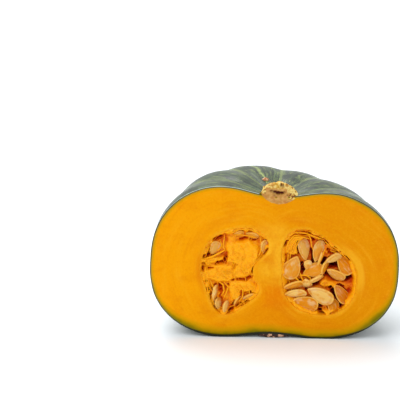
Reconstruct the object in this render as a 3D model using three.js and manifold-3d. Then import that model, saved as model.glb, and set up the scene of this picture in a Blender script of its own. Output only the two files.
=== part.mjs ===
// Half a kabocha squash, cut down through its stalk and standing on its blossom end.
// Millimetres, +Z up. The cut face looks along -Y and the rounded green back along +Y.
// The fruit is one solid with two seed chambers open at the cut. The halved corky stalk sits in a
// socket at the top. Each chamber holds a mass of stringy pulp and a cluster of flat seeds.

import * as THREE from "three";
import { mergeVertices } from "three/addons/utils/BufferGeometryUtils.js";
import Module from "manifold-3d";

const wasm = await Module();
wasm.setup();

// Driving dimensions of the fruit, about its own centre and axis.
const RADIUS = 92;
const CROWN_HEIGHT = 68.5;
const BASE_HEIGHT = 60.4;
const RADIUS_FULLNESS = 0.763;
const HEIGHT_FULLNESS = 0.811;
const CROWN_DIMPLE = { depth: 11.4, width: 33.6 };
const BASE_DIMPLE = { depth: 8.4, width: 33.9, backSpread: 0.36 };
// No fruit grows even: these shares make one side wider and one shoulder higher.
const WIDER_RIGHT = 0.008;
const CROWN_SKEW = { right: -0.025, quarter: -0.068, back: 0.05 };
const BASE_SKEW = { right: -0.01, back: 0.12 };
const BASE_LEVEL = { slope: 0.034, reach: 62 };
const FURROWS = { count: 10, depth: 0.024, width: 0.15, wander: 0.08 };

// How it stands: it leans a little to the right, and its lowest ribs are flattened where they bear.
const LEAN = THREE.MathUtils.degToRad(2.2);
const CENTRE_ABOVE_SURFACE = 55.2;
const CUT_PLANE_Y = -45.39;
const AXIS_X = -0.73;

// Touching solids keep this much air between them.
const GAP = 0.35;

// The two seed chambers: a middle, a depth, and the outline on the cut face round that middle.
const CHAMBERS = {
  left: {
    middle: [-30, -3],
    depth: 38,
    outline: [
      [-53.4, -3], [-53.3, 3], [-52, 9], [-50.2, 15], [-47.6, 20], [-43.6, 24.2], [-37.5, 27.6],
      [-30, 30.4], [-22, 31.6], [-14, 30.4], [-8, 26.6], [-4.6, 21], [-4.2, 15], [-6.4, 10.4],
      [-10.4, 7], [-13.6, 3], [-15, -2], [-14, -7], [-10.8, -11.4], [-9.2, -16.6], [-11.2, -22],
      [-15, -26], [-19.4, -29.8], [-24.2, -34], [-29.4, -37.6], [-35, -38.6], [-40, -36.4],
      [-44, -31], [-47, -24], [-49.6, -17], [-52.2, -10],
    ],
  },
  right: {
    middle: [34, -1.5],
    depth: 38,
    outline: [
      [7, 21.6], [10, 28.4], [16, 32], [24, 32.2], [31, 29.8], [37, 26.6], [43, 22], [49, 16.6],
      [55, 11.8], [59.4, 6], [61.6, -2], [62, -11], [60.6, -19], [56.6, -26], [51, -31.4],
      [44, -34.4], [36, -34.8], [28, -33.8], [20, -31], [13.4, -25.4], [9, -18], [7.2, -9.6],
      [6.4, -1], [6, 7], [6, 15],
    ],
  },
};
const CHAMBER_SQUARENESS = 0.72;

// The stalk's lathe profile, radius and height, from its buried tip to its broken top.
const STALK_AXIS_X = 1.9;
const STALK_PROFILE = [
  [0, 51.2],
  [5.5, 52.2],
  [10, 54.6],
  [13.2, 57.6],
  [14.2, 60.2],
  [12.8, 62.8],
  [9.6, 65.2],
  [5.2, 67.2],
  [0, 67.7],
];
const STALK_LOBES = { count: 5, height: 0.06 };

const SEED_THICKNESS = 2.9;
const SEED_POINTS = 12;
const THREAD_RADIUS = 0.8;

// The seeds that show, in rows: x and z of the middle, depth behind the cut, length, width,
// turn of the round end from +X, roll about the long axis and pitch into the chamber, in degrees.
const SEEDS = {
  left: [
    [-43.8, 16.4, 3.0, 12.0, 9.4, 64, 12, 0],
    [-8.0, 18.0, 4.2, 10.5, 7.4, 80, 44, 0],
    [-15.6, 25.8, 4.2, 12.5, 8.0, -6, 46, 0],
    [-27.4, 26.8, 4.8, 11.0, 7.0, 12, 52, 0],
    [-42.8, -21.4, 3.4, 13.0, 8.6, 84, 78, 0],
    [-39.8, -29.0, 3.8, 12.0, 8.6, 104, 60, 0],
    [-34.4, -31.2, 4.0, 12.0, 8.4, 86, 72, 0],
    [-18.2, -24.0, 4.0, 10.5, 7.6, 18, 40, 0],
    [-25.0, -27.6, 5.4, 10.5, 7.6, 60, 56, 0],
  ],
  right: [
    [21.4, 16.6, 5.4, 15.5, 9.0, 100, 30, 6],
    [24.8, 7.0, 4.6, 9.0, 7.4, 76, 24, -14],
    [32.2, 18.2, 5.4, 16.0, 9.2, 72, 22, 6],
    [13.6, 1.8, 2.6, 17.4, 12.2, 258, 4, 0],
    [30.6, 1.0, 4.4, 14.0, 8.8, 22, -20, 0],
    [34.6, 9.0, 5.6, 10.5, 8.0, 80, 78, 0],
    [39.0, 4.6, 4.6, 13.0, 8.2, 70, 70, 0],
    [44.4, 12.6, 4.2, 12.5, 8.4, 36, 54, 0],
    [53.4, 5.6, 4.8, 14.4, 10.6, -48, -22, -6],
    [47.0, -1.6, 4.2, 13.5, 9.0, -28, 44, 0],
    [16.0, -11.2, 3.4, 14.0, 8.0, 26, 46, 0],
    [17.2, -17.2, 2.6, 17.0, 9.4, -6, 42, 0],
    [25.6, -26.2, 3.6, 18.5, 12.6, -20, 6, 0],
    [36.2, -20.0, 2.2, 20.0, 11.6, -28, 12, 0],
    [52.2, -17.4, 4.6, 15.5, 10.6, -52, -34, 4],
    [45.8, -27.8, 5.6, 13.0, 8.6, 112, 20, 8],
    [25.2, -10.2, 4.4, 10.5, 8.2, -60, 16, 46],
    [31.4, -6.0, 4.2, 12.5, 8.0, 30, 62, 0],
  ],
};

// The mat of pulp behind the seeds: how deep its front lies, and how high its lumps stand.
const PULP_BED = { front: { left: 8.5, right: 11.5 }, lump: 2 };

// Lumps of pulp that the knife went through, as outlines on the cut face, with the depth behind
// it at which each starts.
const PULP_LUMPS = {
  left: [
    {
      front: 1.4,
      outline: [
        [-34.6, 18.6], [-28, 19.6], [-18.5, 21.4], [-12.6, 17.4], [-10.8, 10], [-13, 5], [-15.8, -1],
        [-17.4, -6], [-21, -8.2], [-29, -8.8], [-30, -2], [-27.5, 2], [-35, 3.2], [-34.4, 12],
      ],
    },
    {
      front: 3,
      outline: [
        [-51.6, 5.4], [-46, 7.8], [-40, 7.4], [-36.4, 8.4], [-36.6, 3.6], [-44, 2.6], [-50.6, 2],
      ],
    },
    {
      front: 2.4,
      outline: [
        [-49.6, -2.4], [-44, 0.8], [-37, 1.2], [-30, 1.6], [-29, -8.6], [-33, -11.6], [-39, -12.6],
        [-45, -11], [-49.6, -9.4],
      ],
    },
    {
      front: 2.6,
      outline: [
        [-34, -13.6], [-27, -11.4], [-18, -10.6], [-12.4, -13.6], [-11.4, -19.4], [-17, -19.6],
        [-22.4, -19.4], [-23.6, -25.4], [-29, -26.4], [-31, -20],
      ],
    },
    { front: 4.4, outline: [[-47.6, -12], [-43.6, -13.4], [-42.6, -17.4], [-46.4, -23]] },
  ],
  right: [
    {
      front: 4,
      outline: [
        [34.4, -7], [39.6, -4.6], [45, -7.4], [50, -9.6], [60.6, -8.6], [60.8, -14], [52, -12.6],
        [43, -12.2], [36, -11.4],
      ],
    },
    {
      front: 3.2,
      outline: [[9, 19], [10.6, 26], [17, 29], [25, 28.2], [18.4, 23.6], [17, 13.4], [12, 13.6]],
    },
    { front: 5.2, outline: [[38.5, 22], [44, 18.6], [49.6, 13.6], [49.4, 10.6], [43, 15.4], [38, 18]] },
  ],
};

const STRANDS = {
  left: { count: 9, radius: 0.9, seed: 7 },
  right: { count: 9, radius: 0.9, seed: 19 },
};

// Draws from 0 to 1 that are the same at every run.
function seededDraws(seed) {
  let state = seed;
  return () => {
    state = (state * 16807) % 2147483647;
    return state / 2147483647;
  };
}

// A closed three.js geometry as a solid that can be joined and cut.
function solidOf(geometry) {
  const bare = new THREE.BufferGeometry();
  bare.setAttribute("position", geometry.getAttribute("position"));
  if (geometry.index) bare.setIndex(geometry.index);
  const merged = mergeVertices(bare, 1e-4);
  return new wasm.Manifold(
    new wasm.Mesh({
      numProp: 3,
      vertProperties: Float32Array.from(merged.attributes.position.array),
      triVerts: Uint32Array.from(merged.index.array),
    }),
  );
}

// A solid as a three.js geometry with flat faces.
function geometryOf(solid) {
  const mesh = solid.getMesh();
  const positions = new Float32Array(mesh.numVert * 3);
  for (let i = 0; i < mesh.numVert; i++) {
    positions.set(mesh.vertProperties.subarray(i * mesh.numProp, i * mesh.numProp + 3), i * 3);
  }
  const geometry = new THREE.BufferGeometry();
  geometry.setAttribute("position", new THREE.BufferAttribute(positions, 3));
  geometry.setIndex(new THREE.BufferAttribute(Uint32Array.from(mesh.triVerts), 1));
  const flat = geometry.toNonIndexed();
  flat.computeVertexNormals();
  return flat;
}

// The biggest of the bodies that a cut leaves. Loose scraps are dropped.
function mainBody(solid) {
  return solid.decompose().sort((a, b) => b.volume() - a.volume())[0];
}

function joined(solids) {
  return solids.reduce((sum, next) => sum.add(next));
}

// A box with its middle at a place, as a solid.
function block(width, depth, height, x, y, z) {
  return solidOf(new THREE.BoxGeometry(width, depth, height).translate(x, y, z));
}

// How deep in a furrow between two ribs a turn about the axis is, from 0 to about 1.
function furrowAt(turn) {
  let depth = 0;
  for (let k = 0; k < FURROWS.count; k++) {
    const middle = ((k + 0.5) * 2 * Math.PI) / FURROWS.count + FURROWS.wander * Math.sin(2.3 * k + 0.6);
    const away = Math.atan2(Math.sin(turn - middle), Math.cos(turn - middle));
    depth += Math.exp(-((away / FURROWS.width) ** 2));
  }
  return depth;
}

// A point of the skin: turn runs round the axis from +X, fall from the stalk to the blossom end.
function skinPoint(turn, fall) {
  const out = Math.abs(Math.sin(fall));
  const up = Math.cos(fall);
  const flat = RADIUS * (1 + WIDER_RIGHT * Math.cos(turn)) * out ** RADIUS_FULLNESS;
  let height;
  if (up >= 0) {
    const skew =
      CROWN_SKEW.right * Math.cos(turn) +
      CROWN_SKEW.quarter * Math.sin(2 * turn) +
      CROWN_SKEW.back * Math.sin(turn);
    height =
      CROWN_HEIGHT * (1 + skew * out) * up ** HEIGHT_FULLNESS -
      CROWN_DIMPLE.depth * Math.exp(-((flat / CROWN_DIMPLE.width) ** 2));
  } else {
    const width = BASE_DIMPLE.width * (1 + BASE_DIMPLE.backSpread * Math.sin(turn) ** 2);
    const skew = BASE_SKEW.right * Math.cos(turn) + BASE_SKEW.back * Math.abs(Math.sin(turn));
    const side = flat * Math.cos(turn);
    height =
      -BASE_HEIGHT * (1 + skew * out) * (-up) ** HEIGHT_FULLNESS +
      BASE_DIMPLE.depth * Math.exp(-((flat / width) ** 2)) +
      BASE_LEVEL.slope * side * Math.exp(-((side / BASE_LEVEL.reach) ** 2));
  }
  const dent = 1 - FURROWS.depth * furrowAt(turn) * out ** 0.4;
  return new THREE.Vector3(flat * Math.cos(turn), flat * Math.sin(turn), height).multiplyScalar(dent);
}

// A sphere whose points are moved by a rule that gets each point of the unit sphere.
function shapedSphere(around, down, rule) {
  const geometry = new THREE.SphereGeometry(1, around, down).rotateX(Math.PI / 2);
  const positions = geometry.getAttribute("position");
  const point = new THREE.Vector3();
  for (let i = 0; i < positions.count; i++) {
    point.fromBufferAttribute(positions, i);
    const moved = rule(point);
    positions.setXYZ(i, moved.x, moved.y, moved.z);
  }
  return geometry;
}

// The fruit with no chambers, whole all round.
function wholeFruit() {
  const around = 96;
  const down = 34;
  return solidOf(
    shapedSphere(around, down, (p) => {
      const fall = Math.acos(THREE.MathUtils.clamp(p.z, -1, 1));
      return skinPoint(Math.atan2(p.y, p.x), fall);
    }),
  );
}

// Everything in front of the cut, and everything below the surface that the leaning fruit stands on.
function cutAway(solid) {
  const size = 4 * RADIUS;
  const front = block(size, size, size, 0, -size / 2, 0);
  const below = solidOf(
    new THREE.BoxGeometry(size, size, size).translate(0, 0, -size / 2 - CENTRE_ABOVE_SURFACE).rotateY(-LEAN),
  );
  return solid.subtract(front).subtract(below);
}

// The distance from a chamber's middle to its outline, for each of many even turns.
function outlineReach({ middle, outline }, turns) {
  const points = outline.map(([x, z]) => new THREE.Vector3(x - middle[0], 0, z - middle[1]));
  const smooth = new THREE.CatmullRomCurve3(points, true).getPoints(8 * outline.length);
  const known = smooth.map((p) => ({ angle: Math.atan2(p.z, p.x), reach: Math.hypot(p.x, p.z) }));
  return Array.from({ length: turns }, (_, i) => {
    const angle = (i * 2 * Math.PI) / turns;
    const apart = ({ angle: other }) => {
      const turned = angle - other;
      return Math.abs(Math.atan2(Math.sin(turned), Math.cos(turned)));
    };
    return known.reduce((best, next) => (apart(next) < apart(best) ? next : best)).reach;
  });
}

// A seed chamber's hollow, all round the cut plane, grown by an amount.
function chamberSolid(chamber, grow) {
  const turns = 48;
  const reach = outlineReach(chamber, turns);
  return solidOf(
    shapedSphere(turns, 16, (p) => {
      const angle = Math.atan2(p.x, p.y);
      const step = ((Math.round((angle * turns) / (2 * Math.PI)) % turns) + turns) % turns;
      const out = Math.hypot(p.x, p.y) ** CHAMBER_SQUARENESS * (reach[step] + grow);
      return new THREE.Vector3(
        chamber.middle[0] + out * Math.cos(angle),
        Math.sign(p.z) * Math.abs(p.z) ** CHAMBER_SQUARENESS * (chamber.depth + grow),
        chamber.middle[1] + out * Math.sin(angle),
      );
    }),
  );
}

// The stalk, whole, lobed and rough, grown by an amount.
function stalkSolid(grow) {
  const profile = STALK_PROFILE.map(([radius, height], i) => {
    const last = STALK_PROFILE.length - 1;
    const outward = i === 0 ? -grow : i === last ? grow : ((2 * i) / last - 1) * grow;
    return new THREE.Vector2(i === 0 || i === last ? 0 : radius + grow, height + outward);
  });
  const geometry = new THREE.LatheGeometry(profile, 30).rotateX(Math.PI / 2);
  const positions = geometry.getAttribute("position");
  const point = new THREE.Vector3();
  for (let i = 0; i < positions.count; i++) {
    point.fromBufferAttribute(positions, i);
    const turn = Math.atan2(point.y, point.x);
    const away = Math.hypot(point.x, point.y);
    const wave = 1 + STALK_LOBES.height * Math.cos(STALK_LOBES.count * turn + 0.7);
    const chip = point.z > 61 ? 0.7 * Math.sin(3 * turn + 1) * Math.sin(away * 0.6) : 0;
    positions.setXYZ(i, STALK_AXIS_X + point.x * wave, point.y * wave, point.z + chip);
  }
  return solidOf(geometry);
}

// A flat plump seed: a bevelled teardrop slab, set at its place and turned.
function seedSolid([x, z, depth, length, width, turn, roll, pitch], grow) {
  const outline = new THREE.Shape();
  for (let i = 0; i < SEED_POINTS; i++) {
    const angle = (i * 2 * Math.PI) / SEED_POINTS;
    const taper = 1 + 0.3 * Math.cos(angle);
    const px = (length / 2 + grow) * Math.cos(angle);
    const py = (width / 2 + grow) * Math.sin(angle) * taper;
    if (i === 0) outline.moveTo(px, py);
    else outline.lineTo(px, py);
  }
  outline.closePath();
  const rim = 0.9;
  const crown = (SEED_THICKNESS - rim) / 2 + grow;
  const geometry = new THREE.ExtrudeGeometry(outline, {
    depth: rim,
    bevelEnabled: true,
    bevelThickness: crown,
    bevelSize: width * 0.22,
    bevelOffset: -width * 0.22,
    bevelSegments: 1,
    steps: 1,
  }).translate(0, 0, -rim / 2);
  const angle = THREE.MathUtils.degToRad(turn);
  const facing = new THREE.Matrix4().makeBasis(
    new THREE.Vector3(Math.cos(angle), 0, Math.sin(angle)),
    new THREE.Vector3(-Math.sin(angle), 0, Math.cos(angle)),
    new THREE.Vector3(0, -1, 0),
  );
  geometry.rotateX(THREE.MathUtils.degToRad(roll));
  geometry.rotateY(THREE.MathUtils.degToRad(pitch));
  geometry.applyMatrix4(facing);
  geometry.translate(x, depth, z);
  return solidOf(geometry);
}

// A round thread along points, with a few flat sides and closed ends.
function threadSolid(points, radius, sides, steps) {
  const section = new THREE.Shape();
  for (let i = 0; i < sides; i++) {
    const angle = (i * 2 * Math.PI) / sides;
    if (i === 0) section.moveTo(radius, 0);
    else section.lineTo(radius * Math.cos(angle), radius * Math.sin(angle));
  }
  section.closePath();
  const path = points.length === 2 ? new THREE.LineCurve3(...points) : new THREE.CatmullRomCurve3(points);
  return solidOf(new THREE.ExtrudeGeometry(section, { steps, extrudePath: path, bevelEnabled: false }));
}

// The threads that tie each seed to its nearest neighbour among those already tied.
function seedTies(rows, grow) {
  const middles = rows.map(([x, z, depth]) => new THREE.Vector3(x, depth + 1, z));
  const tied = [middles[0]];
  const loose = middles.slice(1);
  const ties = [];
  while (loose.length) {
    let best = { distance: Infinity };
    for (const from of tied) {
      for (const to of loose) {
        const distance = from.distanceTo(to);
        if (distance < best.distance) best = { distance, from, to };
      }
    }
    ties.push(threadSolid([best.from, best.to], THREAD_RADIUS + grow, 5, 1));
    tied.push(best.to);
    loose.splice(loose.indexOf(best.to), 1);
  }
  return ties;
}

function seedCluster(rows, grow) {
  return joined([...rows.map((row) => seedSolid(row, grow)), ...seedTies(rows, grow)]);
}

// The matted pulp at the back of a chamber, with a lumpy front.
function pulpBed(chamber, front) {
  const size = 90;
  const geometry = new THREE.BoxGeometry(size, size, size, 18, 1, 18);
  const positions = geometry.getAttribute("position");
  for (let i = 0; i < positions.count; i++) {
    const x = positions.getX(i);
    const z = positions.getZ(i);
    const broad = Math.sin(0.33 * x + 0.12 * z + 1) * Math.sin(0.29 * z - 0.1 * x);
    const fine = 0.5 * Math.sin(0.8 * x) * Math.cos(0.7 * z);
    const lump = broad + fine;
    if (positions.getY(i) < 0) positions.setY(i, -size / 2 + PULP_BED.lump * lump);
  }
  return solidOf(geometry.translate(chamber.middle[0], front + size / 2, chamber.middle[1]));
}

// A lump of pulp with rounded edges, from its front back into the bed.
function pulpLump({ front, outline }) {
  const shape = new THREE.Shape(outline.map(([x, z]) => new THREE.Vector2(x, z)));
  const edge = 1.1;
  const geometry = new THREE.ExtrudeGeometry(shape, {
    depth: 18 - front,
    bevelEnabled: true,
    bevelThickness: edge,
    bevelSize: edge,
    bevelOffset: -edge * 0.6,
    bevelSegments: 1,
    steps: 1,
  });
  geometry.rotateX(Math.PI / 2);
  return solidOf(geometry.translate(0, front + edge + 18 - front, 0));
}

// Strands that rise from the bed, follow the chamber's wall and go back into the bed.
function pulpStrands(chamber, front, { count, radius, seed }) {
  const draw = seededDraws(seed);
  const turns = 48;
  const reach = outlineReach(chamber, turns);
  const strands = [];
  for (let i = 0; i < count; i++) {
    const middle = (i * 2 * Math.PI) / count + draw() * 0.5;
    const spread = 0.3 + draw() * 0.3;
    const share = 0.8 + draw() * 0.12;
    const shallow = 2.4 + draw() * 4;
    const points = [-1.25, -0.8, 0, 0.8, 1.25].map((step) => {
      const angle = middle + step * spread;
      const sunk = Math.abs(step) > 1;
      const turn = (Math.round((angle * turns) / (2 * Math.PI)) + turns) % turns;
      const out = share * (sunk ? 0.85 : 1) * reach[turn];
      return new THREE.Vector3(
        chamber.middle[0] + out * Math.cos(angle),
        sunk ? front + 7 : shallow + 2 * step * step,
        chamber.middle[1] + out * Math.sin(angle),
      );
    });
    strands.push(threadSolid(points, radius * (0.8 + 0.5 * draw()), 5, 7));
  }
  return strands;
}

function material(name, color, roughness) {
  return new THREE.MeshStandardMaterial({ name, color, roughness, metalness: 0 });
}

const fleshMaterial = material("flesh", 0xf09a0c, 0.55);
const stalkMaterial = material("stalk", 0xc99a58, 0.85);
const seedMaterial = material("seed", 0xe8c27e, 0.5);
const pulpMaterial = material("pulp", 0xef8c0e, 0.45);

// The group's frame is the fruit's own: its children stand about the fruit's centre and axis.
const squash = new THREE.Group();
squash.position.set(AXIS_X, CUT_PLANE_Y, CENTRE_ABOVE_SURFACE);
squash.rotation.y = LEAN;

function addPiece(name, solid, pieceMaterial) {
  const mesh = new THREE.Mesh(geometryOf(solid), pieceMaterial);
  mesh.name = name;
  squash.add(mesh);
}

const hollows = Object.values(CHAMBERS).map((chamber) => chamberSolid(chamber, 0));
const stalkSocket = stalkSolid(GAP);
const fruit = cutAway(wholeFruit()).subtract(joined([...hollows, stalkSocket]));
addPiece("fruit", mainBody(fruit), fleshMaterial);
addPiece("stalk", mainBody(cutAway(stalkSolid(0))), stalkMaterial);

for (const [side, chamber] of Object.entries(CHAMBERS)) {
  const room = cutAway(chamberSolid(chamber, -GAP));
  const seeds = mainBody(seedCluster(SEEDS[side], 0).intersect(room));
  addPiece(`seeds_${side}`, seeds, seedMaterial);
  const front = PULP_BED.front[side];
  const pulp = joined([
    pulpBed(chamber, front),
    ...PULP_LUMPS[side].map(pulpLump),
    ...pulpStrands(chamber, front, STRANDS[side]),
  ]);
  const clear = pulp.intersect(room).subtract(seedCluster(SEEDS[side], GAP));
  addPiece(`pulp_${side}`, mainBody(clear), pulpMaterial);
}

const model = new THREE.Group();
model.add(squash);

export default model;
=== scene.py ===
"""Half a kabocha squash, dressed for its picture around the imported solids.

The half stands on its blossom end with its cut face to the camera. The mottled green rind, the orange
flesh with its two seed chambers, the corky stalk, the stringy pulp and the flat seeds are each a class,
built in millimetres about the fruit's own axis and then placed in the part's frame.
"""

import logging
import math
import random
from dataclasses import dataclass, field
from enum import Enum
from typing import Any, Callable, Iterable, Sequence

import bpy
import numpy as np
from mathutils import Matrix, Vector, noise


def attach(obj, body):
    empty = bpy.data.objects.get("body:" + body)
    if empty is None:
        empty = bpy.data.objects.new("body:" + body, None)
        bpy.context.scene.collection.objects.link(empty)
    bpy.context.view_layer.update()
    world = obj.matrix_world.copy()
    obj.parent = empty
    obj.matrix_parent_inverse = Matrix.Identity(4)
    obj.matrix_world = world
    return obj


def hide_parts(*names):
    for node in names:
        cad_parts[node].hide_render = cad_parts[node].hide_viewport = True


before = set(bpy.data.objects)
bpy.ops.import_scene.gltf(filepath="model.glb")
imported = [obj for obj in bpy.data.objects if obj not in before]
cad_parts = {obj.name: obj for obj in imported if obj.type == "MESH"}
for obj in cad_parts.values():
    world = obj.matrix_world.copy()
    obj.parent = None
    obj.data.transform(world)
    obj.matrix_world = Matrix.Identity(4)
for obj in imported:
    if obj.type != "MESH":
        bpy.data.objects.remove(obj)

LOG = logging.getLogger("squash")
MM = 0.001
BODY = "root"

Triple = tuple[float, float, float]
Colour = Triple
Place = tuple[float, float]


def srgb(red: float, green: float, blue: float) -> Colour:
    """Gives the linear colour of a display colour.

    Args:
        red: The red channel, from 0 to 255.
        green: The green channel.
        blue: The blue channel.

    Returns:
        The same colour in linear light, each channel from 0 to 1.
    """

    def linear(value: float) -> float:
        """Takes one channel from display to linear light."""
        share = value / 255
        return share / 12.92 if share <= 0.04045 else ((share + 0.055) / 1.055) ** 2.4

    return linear(red), linear(green), linear(blue)


def smooth(values: np.ndarray, low: float, high: float) -> np.ndarray:
    """Rises smoothly from 0 at low to 1 at high."""
    share = np.clip((values - low) / (high - low), 0, 1)
    return share * share * (3 - 2 * share)


def grain(points: np.ndarray, scale: Sequence[float], shift: float = 0.0) -> np.ndarray:
    """Draws smooth noise at each point.

    Args:
        points: The places, one row each.
        scale: How often the noise repeats along each axis, per unit of length.
        shift: Moves the pattern, so that two uses differ.

    Returns:
        One value from -1 to 1 for each point.
    """
    scaled = points * np.asarray(scale, float) + shift
    return np.array([noise.noise(Vector(row)) for row in scaled])


# The fruit's own shape


@dataclass(frozen=True)
class Stance:
    """Where the fruit's centre and axis lie in the part's frame, in millimetres."""

    axis_x: float = -0.73
    cut_y: float = -45.39
    centre_z: float = 55.2
    lean: float = math.radians(2.2)

    def place(self, points: np.ndarray, floor: float = 0.0) -> np.ndarray:
        """Takes points from the fruit's frame in millimetres to the part's frame in metres.

        Args:
            points: The places, one row each.
            floor: The height in millimetres below which nothing reaches.

        Returns:
            The same places in the part's frame.
        """
        x, y, z = points[:, 0], points[:, 1], points[:, 2]
        sine, cosine = math.sin(self.lean), math.cos(self.lean)
        placed = np.column_stack(
            [
                self.axis_x + x * cosine + z * sine,
                self.cut_y + y,
                self.centre_z - x * sine + z * cosine,
            ]
        )
        placed[:, 2] = np.maximum(placed[:, 2], floor)
        return placed * MM


@dataclass(frozen=True)
class Skin:
    """The rule of the fruit's outer surface, in millimetres about its centre and axis."""

    radius: float = 92
    crown_height: float = 68.5
    base_height: float = 60.4
    radius_fullness: float = 0.763
    height_fullness: float = 0.811
    crown_dimple: Place = (11.4, 33.6)
    base_dimple: Place = (8.4, 33.9)
    base_dimple_back: float = 0.36
    wider_right: float = 0.008
    crown_skew: Triple = (-0.025, -0.068, 0.05)
    base_skew: Place = (-0.01, 0.12)
    base_level: Place = (0.034, 62)
    ribs: int = 10
    furrow_depth: float = 0.024
    furrow_width: float = 0.15
    furrow_wander: float = 0.08

    def furrow(self, turn: np.ndarray) -> np.ndarray:
        """Tells how deep in a furrow each place is.

        Args:
            turn: The places' turns about the axis, in radians from +X.

        Returns:
            From 0 on a rib to about 1 at the bottom of a furrow.
        """
        depth = np.zeros_like(turn)
        for k in range(self.ribs):
            middle = (k + 0.5) * 2 * math.pi / self.ribs
            middle += self.furrow_wander * math.sin(2.3 * k + 0.6)
            away = np.arctan2(np.sin(turn - middle), np.cos(turn - middle))
            depth += np.exp(-((away / self.furrow_width) ** 2))
        return depth

    def points(self, turn: np.ndarray, fall: np.ndarray) -> np.ndarray:
        """Gives places on the surface.

        Args:
            turn: Each place's turn about the axis, in radians from +X.
            fall: Its angle from the stalk end, in radians.

        Returns:
            The places in the fruit's frame, one row each.
        """
        out = np.abs(np.sin(fall))
        up = np.cos(fall)
        flat = self.radius * (1 + self.wider_right * np.cos(turn)) * out**self.radius_fullness
        right, quarter, back = self.crown_skew
        lift = right * np.cos(turn) + quarter * np.sin(2 * turn) + back * np.sin(turn)
        depth, width = self.crown_dimple
        top = self.crown_height * (1 + lift * out) * np.abs(up) ** self.height_fullness
        top = top - depth * np.exp(-((flat / width) ** 2))
        depth, width = self.base_dimple
        width = width * (1 + self.base_dimple_back * np.sin(turn) ** 2)
        side = flat * np.cos(turn)
        drop = self.base_skew[0] * np.cos(turn) + self.base_skew[1] * np.abs(np.sin(turn))
        slope, reach = self.base_level
        low = -self.base_height * (1 + drop * out) * np.abs(up) ** self.height_fullness
        low = low + depth * np.exp(-((flat / width) ** 2)) + slope * side * np.exp(-((side / reach) ** 2))
        height = np.where(up >= 0, top, low)
        dent = 1 - self.furrow_depth * self.furrow(turn) * out**0.4
        return np.column_stack([flat * np.cos(turn), flat * np.sin(turn), height]) * dent[:, None]

    def outline(self, steps: int = 720) -> np.ndarray:
        """Gives the cut face's outline.

        Args:
            steps: How many places it has, all round.

        Returns:
            Rows of x and z in the fruit's frame.
        """
        fall = np.linspace(0, math.pi, steps // 2)
        right = self.points(np.zeros_like(fall), fall)
        left = self.points(np.full_like(fall, math.pi), fall)
        return np.vstack([right, left[::-1]])[:, [0, 2]]


STANCE = Stance()
SKIN = Skin()


# What the seed chambers hold


class Side(Enum):
    """The two seed chambers, as seen from the camera."""

    LEFT = "left"
    RIGHT = "right"


@dataclass(frozen=True)
class Seed:
    """One seed: its middle on the cut face, depth behind it, size, attitude in degrees and colour."""

    x: float
    z: float
    depth: float
    length: float
    width: float
    turn: float
    roll: float
    pitch: float = 0
    tone: float = 0.4

    def away(self, x: np.ndarray, z: np.ndarray) -> np.ndarray:
        """Gives how far out from the seed's middle each place is.

        Args:
            x: The places' x on the cut face.
            z: Their z.

        Returns:
            From 0 at the middle to 1 on the seed's outline, and more beyond it.
        """
        turn = math.radians(self.turn)
        along = (x - self.x) * math.cos(turn) + (z - self.z) * math.sin(turn)
        across = -(x - self.x) * math.sin(turn) + (z - self.z) * math.cos(turn)
        return np.hypot(along / (self.length * 0.5), across / (self.width * 0.5))


@dataclass(frozen=True)
class Lump:
    """A lump of pulp that the knife went through: its outline and how deep its front lies."""

    front: float
    crown: float
    outline: tuple[Place, ...]

    def inside(self, x: np.ndarray, z: np.ndarray) -> np.ndarray:
        """Gives how far inside the outline each place is.

        Args:
            x: The places' x on the cut face.
            z: Their z.

        Returns:
            The distance to the outline, below 0 outside it.
        """
        corners = np.array(self.outline)
        nearest = np.full(x.shape, np.inf)
        within = np.zeros(x.shape, bool)
        for start, end in zip(corners, np.roll(corners, -1, axis=0)):
            edge = end - start
            share = ((x - start[0]) * edge[0] + (z - start[1]) * edge[1]) / (edge @ edge)
            share = np.clip(share, 0, 1)
            away = np.hypot(x - start[0] - share * edge[0], z - start[1] - share * edge[1])
            nearest = np.minimum(nearest, away)
            crosses = (start[1] > z) != (end[1] > z)
            rise = np.where(np.abs(edge[1]) < 1e-9, 1e-9, edge[1])
            within ^= crosses & (x < start[0] + edge[0] * (z - start[1]) / rise)
        return np.where(within, nearest, -nearest)


@dataclass(frozen=True)
class Crevice:
    """A dark gap in the pulp: how far it goes down and its line, as rows of x, z and half width."""

    deep: float
    line: tuple[Triple, ...]

    def away(self, x: np.ndarray, z: np.ndarray, most: float = 9.0) -> np.ndarray:
        """Gives how far each place is from the crevice's line.

        Args:
            x: The places' x on the cut face.
            z: Their z.
            most: The distance that is given at most.

        Returns:
            The distance in half widths of the crevice there.
        """
        rows = np.array(self.line)
        share = np.full(x.shape, most)
        for start, end in zip(rows[:-1], rows[1:]):
            edge = end - start
            along = (x - start[0]) * edge[0] + (z - start[1]) * edge[1]
            along = np.clip(along / (edge[0] ** 2 + edge[1] ** 2), 0, 1)
            gap = np.hypot(x - start[0] - along * edge[0], z - start[1] - along * edge[1])
            share = np.minimum(share, gap / (start[2] + along * edge[2]))
        return share


@dataclass(frozen=True)
class Cord:
    """A strand of pulp that shows by itself: its half thickness and rows of x, z and depth."""

    thick: float
    line: tuple[Triple, ...]


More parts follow.
